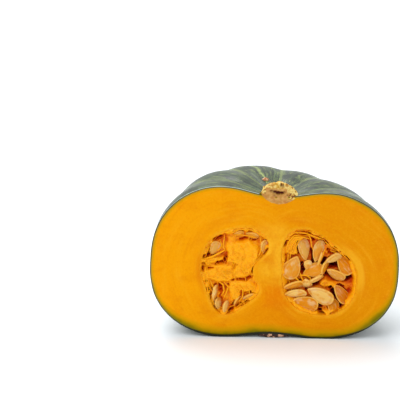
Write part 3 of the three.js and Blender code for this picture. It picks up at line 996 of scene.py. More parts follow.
@dataclass(frozen=True)
class RindFinish:
    """Dark green skin with pale mottles, pale stripes in the furrows, veins round the stalk and a painted
    highlight along the top of the cut edge.
    """

    dark: Colour = srgb(15, 29, 19)
    green: Colour = srgb(33, 50, 33)
    mottle: Colour = srgb(74, 96, 58)
    vein: Colour = srgb(142, 158, 84)
    # A painted highlight: the pale line where light catches the rind's cut edge at the top.
    edge_highlight: Colour = srgb(206, 220, 214)
    inside: Colour = srgb(226, 150, 8)
    veins: tuple[Place, ...] = ((13, 0.013), (24, 0.018))
    lone_vein_turn: float = 2.035

    @staticmethod
    def _wavy(graph: Graph, skin: Wire) -> Wire:
        """Bends the lines of the skin's turn and fall a little.

        Args:
            graph: The material's graph.
            skin: The turn and the fall as a vector.

        Returns:
            The bent vector.
        """
        bend = graph.node(
            "ShaderNodeTexNoise", {}, {"Vector": graph.stretched(skin, (6, 6, 6)), "Scale": 1.0}, "Color"
        )
        shift = graph.node("ShaderNodeVectorMath", {"operation": "SCALE"}, {0: bend, "Scale": 0.16})
        return graph.node("ShaderNodeVectorMath", {"operation": "ADD"}, {0: skin, 1: shift})

    def _mottles(self, graph: Graph, skin: Wire, wavy: Wire) -> Wire:
        """Gives the green with its blots, strokes and dots.

        Args:
            graph: The material's graph.
            skin: The turn and the fall as a vector.
            wavy: The same, bent.

        Returns:
            The colour between the stripes and the veins.
        """
        place = graph.place()
        flecks, blots = graph.cloud(skin, (30, 13, 1), 5, 0.65), graph.cloud(skin, (9, 5, 1))
        strokes = graph.cloud(wavy, (44, 4, 1), 5, 0.6)
        dots = graph.cloud(place, 620, 3, 0.6)
        return graph.paint(
            graph.mix(graph.cloud(place, 34, 4).step(0.35, 0.7), self.dark, self.green),
            ((flecks * blots).step(0.25, 0.36) * 0.75, self.mottle),
            (strokes.step(0.5, 0.62) * 0.55, self.mottle),
            (strokes.step(0.5, 0.36) * 0.6, self.dark),
            (dots.step(0.54, 0.64) * 0.4, self.mottle),
        )

    def _stripes(self, graph: Graph, skin: Wire, wavy: Wire) -> list[Coat]:
        """Gives the veins round the stalk and the stripes in the furrows.

        Args:
            graph: The material's graph.
            skin: The turn and the fall as a vector.
            wavy: The same, bent.

        Returns:
            One coat for each kind of vein and one for the stripes.
        """
        turn, fall, furrow = (graph.attribute(name) for name in ("turn", "fall", "furrow"))
        crown = fall.step(0.75, 1.35, 1, 0.15)
        broken = graph.cloud(graph.place(), 130, 4).step(0.4, 0.6)
        coats = []
        for spacing, width in self.veins:
            lines = graph.cloud(wavy, (spacing, 1.3, 1), 2)
            thin = (lines - 0.5).size().step(0.002, width, 1, 0)
            coats.append((thin * crown * broken * 0.85, self.vein))
        sway = graph.cloud(skin, (5, 9, 1), 2) * 0.16
        lone = (turn + sway - self.lone_vein_turn).size().step(0.012, 0.04, 1, 0)
        coats.append((lone * fall.step(0.75, 1.0, 1, 0) * broken.step(0, 0.6, 0.4, 1), self.vein))
        stripe = furrow.step(0.86, 0.99) * graph.cloud(wavy, (30, 5, 1), 4).step(0.4, 0.6)
        coats.append((stripe * fall.step(0.3, 1.1, 0.5, 0.62), self.vein))
        return coats

    def build(self) -> bpy.types.Material:
        """Makes the material.

        Returns:
            The finished material.
        """
        graph = Graph("rind")
        place, rim = graph.place(), graph.attribute("rim")
        x, y, z = (graph.along(axis) for axis in "XYZ")
        skin = graph.vector(graph.attribute("turn"), graph.attribute("fall"))
        wavy = self._wavy(graph, skin)
        # Where the painted highlight runs: along the rind's cut edge near the top, stronger on the left.
        knife = y.step(-45.3, -44.3, 1, 0) * rim.step(0.02, 0.1, 1, 0) * z.step(86, 104)
        outside = graph.paint(
            self._mottles(graph, skin, wavy),
            *self._stripes(graph, skin, wavy),
            (knife * x.step(10, 60, 0.75, 0.3), self.edge_highlight),
        )
        pores = graph.bump(graph.cells(place, 900).step(0.1, 0.5), 0.25, 0.12)
        return graph.finish(
            Base_Color=graph.mix(rim.step(0.02, 0.12), outside, section(graph, self.inside, rim)),
            Roughness=graph.cloud(place, 90).step(0.3, 0.7, 0.34, 0.5),
            Coat_Weight=z.step(25, 75) * y.step(-45.4, -44.6) * 0.55,
            Coat_Roughness=0.28,
            Specular_IOR_Level=0.3,
            Normal=graph.bump(graph.cloud(place, 260, 4), 0.35, 0.35, pores),
        )


@dataclass(frozen=True)
class FleshFinish:
    """Moist orange flesh, paler round the chambers and green-yellow under the skin, with painted light making
    it lighter on the left and painted shade darkening the chamber walls deeper behind the cut.
    """

    # Lighter on the left than on the right: painted light falling from the left.
    left: Colour = srgb(236, 154, 0)
    right: Colour = srgb(222, 140, 0)
    low: Colour = srgb(228, 140, 0)
    pale: Colour = srgb(240, 176, 36)
    deep: Colour = srgb(214, 112, 0)
    ember: Colour = srgb(222, 98, 0)
    # Painted shade: the chamber walls darken towards this the deeper they lie behind the cut.
    wall: Colour = srgb(176, 70, 2)

    def _core(self, graph: Graph, x: Wire, z: Wire) -> list[Coat]:
        """Gives what sets the flesh between the two chambers apart.

        Args:
            graph: The material's graph.
            x: The place across, in millimetres.
            z: The place up.

        Returns:
            Coats for the low middle, its red patch and the pale grainy core.
        """
        place = graph.place()
        middle = x.step(-34, -4) * x.step(8, 40, 1, 0)
        patch = x.step(-15, -6) * x.step(7, 16, 1, 0) * z.step(20, 30) * z.step(39, 47, 1, 0)
        core = x.step(-17, -5) * x.step(3, 14, 1, 0) * z.step(36, 56) * z.step(84, 96, 1, 0)
        return [
            (middle * z.step(18, 44, 0.75, 0), self.low),
            (patch * graph.cloud(place, 70, 4).step(0.36, 0.6) * 0.45, self.ember),
            (core * graph.cloud(place, 240, 5, 0.7).step(0.3, 0.7, 0.2, 0.9), self.pale),
        ]

    def _rings(self, graph: Graph, hollow: Wire, streak: Wire) -> list[Coat]:
        """Gives the soft rings and streaks round the chambers.

        Args:
            graph: The material's graph.
            hollow: How far from a chamber, in millimetres.
            streak: Noise drawn out along the rings.

        Returns:
            Coats for the pale and the deep rings and streaks.
        """
        place = graph.place()
        halo = hollow.step(0.2, 3.6, 1, 0) * graph.cloud(place, 90).step(0.3, 0.62)
        ring = hollow.step(3, 7) * hollow.step(8, 15, 1, 0) * graph.cloud(place, 60).step(0.4, 0.66)
        near = hollow.step(2, 26, 0.3, 0.22)
        return [
            (halo * 0.5, self.pale),
            (ring * 0.35, self.deep),
            (streak.step(0.48, 0.74) * near, self.pale),
            (streak.step(0.46, 0.28) * near, self.deep),
        ]

    def build(self) -> bpy.types.Material:
        """Makes the material.

        Returns:
            The finished material.
        """
        graph = Graph("flesh")
        place, x, z = graph.place(), graph.along("X"), graph.along("Z")
        depth, rim, hollow = (graph.attribute(name) for name in ("depth", "rim", "hollow"))
        streak = graph.cloud(graph.vector(hollow * 0.42, x * 0.035, z * 0.035), 1.0, 5, 0.6)
        stain = graph.cloud(place, (45, 45, 70), 5, 0.62)
        grainy = graph.cloud(place, 640, 4, 0.7)
        edge = hollow.step(0.5, 2.2) * hollow.step(4.2, 8, 1, 0) * x.step(44, 60) * z.step(30, 50)
        shadow = hollow.step(0, 1) * hollow.step(1.5, 6, 1, 0) * x.step(-48, -56) * z.step(84, 60)
        tint = graph.paint(
            # Painted light: lighter on the left, darker on the right.
            graph.mix(x.step(-70, 50), self.left, self.right),
            *self._core(graph, x, z),
            *self._rings(graph, hollow, streak),
            (stain.step(0.48, 0.72) * 0.36, self.deep),
            (grainy.step(0.48, 0.7) * 0.26, self.pale),
            (grainy.step(0.5, 0.3) * 0.26, self.deep),
            (edge * 0.6, self.pale),
            (shadow * 0.55, self.deep),
            # Painted shade, darker the deeper the chamber wall lies behind the cut.
            (depth.step(1.5, 12), self.wall),
        )
        pores = graph.bump(graph.cloud(place, 1400), 0.3, 0.12)
        return graph.finish(
            Base_Color=section(graph, tint, rim),
            Roughness=graph.cloud(place, 500).step(0.3, 0.7, 0.4, 0.6),
            Subsurface_Weight=0.1,
            Subsurface_Radius=(1.0, 0.35, 0.05),
            Subsurface_Scale=0.0012,
            Specular_IOR_Level=0.02,
            Normal=graph.bump(streak, 0.3, 0.25, pores),
        )


@dataclass(frozen=True)
class CorkFinish:
    """The stalk's dry cork: a smooth tan cut, and a knobby cream crust with dark specks."""

    cut: Colour = srgb(182, 128, 58)
    cut_pale: Colour = srgb(206, 158, 88)
    cut_blush: Colour = srgb(176, 104, 50)
    crust: Colour = srgb(228, 204, 124)
    crust_gold: Colour = srgb(206, 154, 40)
    crust_tan: Colour = srgb(176, 118, 44)
    brown: Colour = srgb(120, 72, 34)
    # The pits' colour: partly the cork's own dark marks, partly painted shade in the hollows.
    dark: Colour = srgb(92, 30, 16)

    def build(self) -> bpy.types.Material:
        """Makes the material.

        Returns:
            The finished material.
        """
        graph = Graph("stalk")
        place = graph.place()
        cloud, blush = graph.cloud(place, 420, 4), graph.cloud(place, 180, 2)
        specks = graph.cloud(place, 420, 4, 0.65).step(0.52, 0.58) * graph.attribute("speck")
        face = graph.paint(
            graph.mix(cloud.step(0.35, 0.7), self.cut, self.cut_pale),
            (blush.step(0.5, 0.62) * 0.5, self.cut_blush),
        )
        shell = graph.paint(
            graph.mix(cloud.step(0.38, 0.6), self.crust, self.crust_gold),
            (blush.step(0.48, 0.36) * 0.8, self.crust_tan),
            (specks, self.brown),
        )
        tint = graph.mix(graph.attribute("crust"), face, shell)
        return graph.finish(
            # The pits darken by the pit attribute, partly the cork's own colour and partly painted shade.
            Base_Color=graph.mix(graph.attribute("pit"), tint, self.dark),
            Roughness=0.78,
            Specular_IOR_Level=0.25,
            Normal=graph.bump(graph.cloud(place, 700, 5, 0.65), 0.6, 0.4),
        )


@dataclass(frozen=True)
class ScarFinish:
    """Dark brown cork with pale pinkish flecks."""

    dark: Colour = srgb(48, 20, 10)
    fleck: Colour = srgb(214, 166, 132)
    share: float = 0.56

    def build(self, name: str) -> bpy.types.Material:
        """Makes the material.

        Args:
            name: The material's name.

        Returns:
            The finished material.
        """
        graph = Graph(name)
        place = graph.place()
        flecks = graph.cloud(place, 300).step(self.share, self.share + 0.08)
        return graph.finish(
            Base_Color=graph.mix(flecks, self.dark, self.fleck),
            Roughness=0.8,
            Normal=graph.bump(graph.cloud(place, 800, 4), 0.6, 0.4),
        )


@dataclass(frozen=True)
class PulpFinish:
    """Wet stringy pulp, orange at the cut, with painted shade that turns it dark red and then near black
    deeper in the chamber.
    """

    front: Colour = srgb(246, 166, 5)
    # Painted shade: the pulp's colour runs through these the deeper it lies behind the cut.
    shade_warm: Colour = srgb(226, 114, 0)
    shade_mid: Colour = srgb(198, 54, 0)
    deep: Colour = srgb(100, 12, 2)
    bottom: Colour = srgb(16, 2, 2)
    fibre: Colour = srgb(254, 180, 40)
    darkest_depth: float = 16

    def build(self) -> bpy.types.Material:
        """Makes the material.

        Returns:
            The finished material.
        """
        graph = Graph("pulp")
        place = graph.place()
        depth = graph.attribute("depth") + (graph.cloud(place, 260) - 0.5) * 2.4
        # Painted shade by depth: orange at the front, dark red and then near black deeper in the chamber.
        tint = graph.ramp(
            depth * (1 / self.darkest_depth),
            (0.0, self.front),
            (0.18, self.front),
            (0.33, self.shade_warm),
            (0.46, self.shade_mid),
            (0.68, self.deep),
            (1.0, self.bottom),
        )
        fibre = graph.cloud(place, (500, 300, 130), 4)
        return graph.finish(
            # The paler fibres show only near the front and fade out with depth along with the painted shade.
            Base_Color=graph.mix(fibre.step(0.5, 0.72) * depth.step(2, 6, 0.36, 0), tint, self.fibre),
            Roughness=graph.cloud(place, 600).step(0.3, 0.7, 0.3, 0.5),
            Coat_Weight=0.04,
            Coat_Roughness=0.2,
            Specular_IOR_Level=0.1,
            Subsurface_Weight=0.08,
            Subsurface_Radius=(1.0, 0.35, 0.05),
            Subsurface_Scale=0.001,
            Normal=graph.bump(fibre, 0.5, 0.4),
        )


@dataclass(frozen=True)
class SeedFinish:
    """Smooth wet seed coats, from cream over pinkish white to translucent orange with a pale rim, with
    painted highlights in streaks and blots.
    """

    cream: Colour = srgb(236, 190, 100)
    blush: Colour = srgb(216, 162, 74)
    orange: Colour = srgb(220, 136, 0)
    brown: Colour = srgb(190, 94, 0)
    rim: Colour = srgb(242, 192, 84)
    # Painted highlight colour.
    painted_sheen: Colour = srgb(230, 194, 140)

    def build(self) -> bpy.types.Material:
        """Makes the material.

        Returns:
            The finished material.
        """
        graph = Graph("seed")
        tone, edge = graph.attribute("tone"), graph.attribute("edge")
        own = graph.attribute("own", "Vector")
        streak = graph.cloud(own, (0.12, 0.9, 0.9), 4)
        stain = graph.cloud(own, (0.17, 0.17, 0.17), 2)
        highlight_blots = graph.cloud(own, (0.14, 0.2, 0.2), 2)
        # Painted shade in the dip just inside each seed's raised rim.
        groove_shade = edge.step(0.66, 0.8) * edge.step(0.84, 0.92, 1, 0)
        tint = graph.paint(
            graph.ramp(tone, (0.0, self.cream), (0.35, self.blush), (0.65, self.orange), (1.0, self.brown)),
            # Painted highlights along the streaks and in blots, more on the paler seeds.
            (streak.step(0.5, 0.72) * 0.4, self.painted_sheen),
            (stain.step(0.46, 0.64) * 0.75, self.orange),
            (highlight_blots.step(0.52, 0.68) * tone.step(0.6, 0.9, 0.6, 0.1), self.painted_sheen),
            (groove_shade * 0.25, self.brown),
            (edge.step(0.84, 0.95) * tone.step(0.1, 0.8, 0.3, 0.75), self.rim),
        )
        return graph.finish(
            Base_Color=tint,
            Roughness=graph.cloud(own, 0.8).step(0.3, 0.7, 0.26, 0.44),
            Coat_Weight=0.03,
            Coat_Roughness=0.15,
            Specular_IOR_Level=0.08,
            Subsurface_Weight=0.12,
            Subsurface_Radius=(1.0, 0.6, 0.3),
            Subsurface_Scale=0.001,
            Normal=graph.bump(streak, 0.25, 0.15),
        )


# The fruit's pieces


@dataclass
class Rind:
    """The thin green skin, with its cut edge showing round the flesh."""

    finish: RindFinish = field(default_factory=RindFinish)
    thickness: float = 1.5
    segments: int = 320
    rings: int = 160
    stalk_middle: float = 1.2
    stalk_hole: float = 11.8
    proud: float = 0.02

    @staticmethod
    def _skin(points: np.ndarray) -> np.ndarray:
        """Gives a unit sphere the fruit's shape, with small uneven lumps.

        Args:
            points: The sphere's places, one row each.

        Returns:
            Where they go, in the fruit's frame.
        """
        moved = SKIN.points(*turn_and_fall(points))
        out = moved / np.maximum(np.linalg.norm(moved, axis=1), 1e-6)[:, None]
        lumps = 0.16 * grain(moved, (0.09, 0.09, 0.09)) + 0.07 * grain(moved, (0.3, 0.3, 0.3), 7)
        return moved + out * (lumps - 0.1)[:, None]

    def build(self) -> None:
        """Makes the skin."""
        rind = shaped_sphere(self.segments, self.rings, self._skin)
        cut_front(rind, fill=False)
        points = read_vertices(rind)
        away = np.hypot(points[:, 0] - self.stalk_middle, points[:, 1])
        delete_vertices(rind, (away < self.stalk_hole) & (points[:, 2] > 0))
        at_cut = read_vertices(rind)[:, 1] < 1e-3
        apply_modifier(rind, "SOLIDIFY", thickness=self.thickness, offset=-1.0)
        points = read_vertices(rind)
        points[np.tile(at_cut, 2), 1] = -self.proud
        turn = np.abs(np.arctan2(points[:, 1].clip(0), points[:, 0]))
        fall = np.arctan2(np.hypot(points[:, 0], points[:, 1]), points[:, 2])
        rim = np.repeat([0.0, self.thickness], len(at_cut))
        set_attributes(rind, turn=turn, fall=fall, furrow=SKIN.furrow(turn), rim=rim)
        set_points(rind, STANCE.place(points))
        hand_over(rind, "rind", self.finish.build(), "flesh", "fruit", crease=50)


@dataclass
class Flesh:
    """The thick orange wall, cut flat, with its two hollow seed chambers."""

    finish: FleshFinish = field(default_factory=FleshFinish)
    inset: float = 0.4
    voxel: float = 1.02
    squareness: float = 0.72
    unevenness: float = 0.35
    lip: Place = (0.45, 0.9)
    clear_of_floor: float = 0.35

    def _hollow(self, chamber: Chamber) -> bpy.types.Object:
        """Makes the tool that cuts a chamber.

        Args:
            chamber: The chamber.

        Returns:
            A closed mesh of its wall, which reaches as far in front of the cut as behind it.
        """

        def rule(points: np.ndarray) -> np.ndarray:
            """Gives a unit sphere the chamber's shape.

            Args:
                points: The sphere's places, one row each.

            Returns:
                Where they go, in the fruit's frame.
            """
            turn = turn_and_fall(points)[0]
            out = np.hypot(points[:, 0], points[:, 1]) ** self.squareness * chamber.reach(turn)
            down = -np.sign(points[:, 2]) * np.abs(points[:, 2]) ** self.squareness * chamber.depth
            moved = np.column_stack(
                [chamber.middle[0] + out * np.cos(turn), down, chamber.middle[1] + out * np.sin(turn)]
            )
            rough = self.unevenness * grain(moved, (0.25, 0.12, 0.25))
            moved[:, 0] += rough * np.cos(turn)
            moved[:, 2] += rough * np.sin(turn)
            return moved

        return shaped_sphere(96, 48, rule)

    def build(self) -> None:
        """Makes the flesh."""
        flesh = shaped_sphere(224, 112, lambda points: SKIN.points(*turn_and_fall(points)))
        set_points(flesh, read_vertices(flesh) - self.inset * read_vertices(flesh, "normal"))
        cut_front(flesh, fill=True)
        for chamber in CHAMBERS.values():
            carve(flesh, self._hollow(chamber))
        apply_modifier(flesh, "REMESH", mode="VOXEL", voxel_size=self.voxel)
        points = read_vertices(flesh)
        x, z = points[:, 0], points[:, 2]
        hollow = -np.maximum(*(chamber.inside(x, z) for chamber in CHAMBERS.values()))
        outline = SKIN.outline()
        rim = np.array([np.hypot(*(outline - spot).T).min() for spot in np.column_stack([x, z])])
        face = points[:, 1] < 0.55 * self.voxel
        sunk, width = self.lip
        points[face, 1] = sunk * np.exp(-((np.maximum(hollow[face], -0.4) / width) ** 2))
        depth = points[:, 1]
        set_attributes(flesh, depth=depth, rim=rim + np.maximum(depth - 2, 0) * 0.4, hollow=hollow)
        set_points(flesh, STANCE.place(points, floor=self.clear_of_floor))
        hand_over(flesh, "flesh", self.finish.build(), "flesh", "fruit", crease=50)


@dataclass(frozen=True)
class Pit:
    """A pit in the stalk's cut face: its middle, width, height and depth."""

    x: float
    z: float
    wide: float
    tall: float
    deep: float


@dataclass
class Stalk:
    """The halved corky stalk, with a slit and pits in its smooth cut face."""

    finish: CorkFinish = field(default_factory=CorkFinish)
    middle: float = 1.1
    profile: tuple[Place, ...] = (
        (0, 51.2), (5.5, 52.2), (9.8, 54.6), (12.8, 57.6), (13.6, 60.2), (12.4, 62.8), (9.4, 65.4),
        (5.4, 67.5), (0, 68.1),
    )
    pits: tuple[Pit, ...] = (
        Pit(-4.2, 61.4, 1.6, 0.9, 1.0), Pit(-1.8, 60.7, 1.8, 1.1, 1.8), Pit(0.6, 60.0, 2.2, 1.3, 2.6),
        Pit(3.2, 60.1, 1.8, 1.1, 2.2), Pit(4.8, 60.8, 1.2, 0.7, 1.0), Pit(-2.0, 58.0, 1.0, 0.9, 0.4),
        Pit(-0.8, 56.8, 0.9, 0.8, 0.3), Pit(7.4, 58.6, 0.8, 0.7, 0.5), Pit(2.4, 66.2, 0.6, 1.6, 1.4),
        Pit(3.9, 65.8, 0.5, 1.4, 1.2), Pit(13.2, 58.0, 0.9, 0.8, 0.8), Pit(8.8, 57.2, 0.7, 0.7, 0.4),
    )
    lobes: Place = (5, 0.05)
    voxel: float = 0.3
    proud: float = 0.05

    def _knobby(self, points: np.ndarray) -> np.ndarray:
        """Gives a unit sphere the stalk's lobed and knobby shape.

        Args:
            points: The sphere's places, one row each.

        Returns:
            Where they go, in the fruit's frame.
        """
        turn, fall = turn_and_fall(points)
        profile = np.array(self.profile)
        steps = np.arange(len(profile))
        share = (1 - fall / math.pi) * (len(profile) - 1)
        count, height_share = self.lobes
        out = np.interp(share, steps, profile[:, 0]) * (1 + height_share * np.cos(count * turn + 0.7))
        height = np.interp(share, steps, profile[:, 1])
        moved = np.column_stack([self.middle + out * np.cos(turn), out * np.sin(turn), height])
        knobs = 0.6 * grain(moved, (0.34, 0.34, 0.34)) + 0.5 * grain(moved, (0.75, 0.75, 0.75), 5)
        knobs = (knobs - 0.35) * smooth(height, 59, 62)
        moved[:, 0] += knobs * 0.7 * np.cos(turn)
        moved[:, 1] += knobs * 0.7 * np.sin(turn)
        moved[:, 2] += knobs * 1.5
        return moved

    @staticmethod
    def _crust(points: np.ndarray) -> np.ndarray:
        """Tells where the stalk has its crust, and where the knife left it smooth.

        Args:
            points: The stalk's places, one row each.

        Returns:
            From 0 on the smooth cut to 1 on the crust.
        """
        x, y, z = points.T
        rough = 0.9 * grain(points, (0.45, 0.45, 0.45))
        outside, top = smooth(y, 0.15, 0.9), smooth(z + rough, 62.8, 63.8)
        right = smooth(x + rough, 6.6, 8.2) * smooth(z, 54.5, 56.5)
        left = smooth(-x + rough, 7.6, 9.0) * smooth(z + rough, 58.2, 60)
        return np.maximum.reduce([outside, top, right, left])

    def build(self) -> None:
        """Makes the stalk."""
        stalk = shaped_sphere(128, 96, self._knobby)
        cut_front(stalk, fill=True)
        apply_modifier(stalk, "REMESH", mode="VOXEL", voxel_size=self.voxel)
        points = read_vertices(stalk)
        x, y, z = points.T
        face = y < 0.5 * self.voxel
        dark, sunk = np.zeros(len(points)), np.zeros(len(points))
        for pit in self.pits:
            dent = np.exp(-(((x - pit.x) / pit.wide) ** 2 + ((z - pit.z) / pit.tall) ** 2) ** 1.5)
            dent = dent * smooth(y, 4, 1)
            # Deeper pits are painted darker: partly the cork's own dark marks, partly painted shade.
            dark = np.maximum(dark, np.minimum((0.35 + 0.4 * pit.deep) * dent, 1))
            sunk = np.maximum(sunk, pit.deep * dent * face)
        points[face, 1] = -self.proud
        points[:, 1] += sunk
        speck = 0.25 + 0.75 * np.maximum(smooth(x, 5, 9), smooth(-x, 3, 8))
        set_attributes(stalk, crust=self._crust(points), pit=dark, speck=speck)
        set_points(stalk, STANCE.place(points))
        hand_over(stalk, "stalk_cork", self.finish.build(), "stalk", "stalk", crease=60)


@dataclass
class Scar:
    """A rough corky patch on the skin."""

    name: str
    middle: Triple
    size: Triple
    finish: ScarFinish = field(default_factory=ScarFinish)
    halved: bool = False
    clear_of_floor: float = 0.2

    def _rough(self, points: np.ndarray) -> np.ndarray:
        """Roughens a unit sphere and takes it to its size and place."""
        rough = 1 + 0.22 * grain(points, (2.4, 2.4, 2.4), 3) + 0.12 * grain(points, (6, 6, 6))
        return points * rough[:, None] * np.array(self.size) + np.array(self.middle)

    def build(self) -> None:
        """Makes the patch."""
        patch = shaped_sphere(72, 36, self._rough)
        if self.halved:
            cut_front(patch, fill=True)
        set_points(patch, STANCE.place(read_vertices(patch), floor=self.clear_of_floor))
        hand_over(patch, self.name, self.finish.build(self.name), "stalk", crease=55)


# What lies in the chambers


@dataclass
class Seeds:
    """The flat pointed seeds of one chamber, one model seed copied to each place."""

    side: Side
    finish: bpy.types.Material
    thickness: float = 2.9
    segments: int = 56
    rings: int = 30
    behind_cut: float = 0.15

    @staticmethod
    def _plump(points: np.ndarray) -> np.ndarray:
        """Gives a unit sphere a seed's raised rim and plump middle.

        Args:
            points: The sphere's places, one row each.

        Returns:
            The places of a seed one unit long, wide and thick either way.
        """
        out = np.hypot(points[:, 0], points[:, 1])
        plump = 1 - 0.42 * smooth(out, 0.2, 0.86) + 0.16 * np.exp(-(((out - 0.93) / 0.06) ** 2))
        close = np.sqrt(np.clip(1 - out**10, 0, 1))
        return np.column_stack([points[:, 0], points[:, 1], np.sign(points[:, 2]) * plump * close])

    def _grown(self, seed: Seed, unit: np.ndarray, number: int) -> np.ndarray:
        """Gives the model seed one seed's size, taper and bend.

        Args:
            seed: The seed.
            unit: The model seed's places.
            number: The seed's number in its chamber, which its random draws start from.

        Returns:
            The places in the seed's own frame, in millimetres.
        """
        draw = random.Random(31 * number + len(self.side.value))
        angle = np.arctan2(unit[:, 1], unit[:, 0])
        out = np.hypot(unit[:, 0], unit[:, 1])
        taper = 1 + (0.24 + 0.1 * draw.random()) * np.cos(angle)
        tip = 0.1 * np.exp(-(((angle**2 - math.pi**2) / 2.2) ** 2)) * out
        taper = taper * (1 + 0.05 * np.sin(2 * angle + 6 * draw.random()) + 0.03 * np.sin(3 * angle))
        own = np.column_stack(
            [
                seed.length / 2 * (unit[:, 0] - tip),
                seed.width / 2 * unit[:, 1] * taper,
                self.thickness / 2 * unit[:, 2],
            ]
        )
        bend = (draw.random() - 0.5) * 0.012
        own[:, 2] += bend * own[:, 0] ** 2 + (draw.random() - 0.5) * 0.02 * own[:, 1] ** 2
        own[:, 2] += 0.1 * grain(own, (0.3, 0.5, 0), number * 3.7) * (1 - out**4)
        return own

    def _laid(self, seed: Seed, own: np.ndarray) -> np.ndarray:
        """Lays a seed in its place.

        Args:
            seed: The seed.
            own: Its places in its own frame.

        Returns:
            Its places in the fruit's frame, none of them in front of the cut.
        """
        turned = own @ np.array(Matrix.Rotation(math.radians(seed.roll), 3, "X")).T
        turned = turned @ np.array(Matrix.Rotation(math.radians(seed.pitch), 3, "Y")).T
        turn = math.radians(seed.turn)
        along = np.array([math.cos(turn), 0, math.sin(turn)])
        across = np.array([-math.sin(turn), 0, math.cos(turn)])
        placed = turned[:, :1] * along + turned[:, 1:2] * across + turned[:, 2:] * np.array([0, -1, 0])
        placed += np.array([seed.x, seed.depth, seed.z])
        placed[:, 1] = np.maximum(placed[:, 1], self.behind_cut)
        return placed

    def build(self) -> None:
        """Makes all of the chamber's seeds as one piece."""
        model = shaped_sphere(self.segments, self.rings, self._plump)
        unit = read_vertices(model)
        edge = np.hypot(unit[:, 0], unit[:, 1])
        copies = []
        for number, seed in enumerate(CHAMBERS[self.side].seeds):
            copy = model.copy()
            copy.data = model.data.copy()
            bpy.context.collection.objects.link(copy)
            own = self._grown(seed, unit, number)
            set_points(copy, self._laid(seed, own))
            set_attributes(copy, tone=np.full(len(unit), seed.tone), edge=edge, own=own + 40.0 * number)
            copies.append(copy)
        bpy.data.objects.remove(model)
        seeds = join(copies)
        set_points(seeds, STANCE.place(read_vertices(seeds)))
        node = f"seeds_{self.side.value}"
        hand_over(seeds, f"{node}_plump", self.finish, "seed", node)


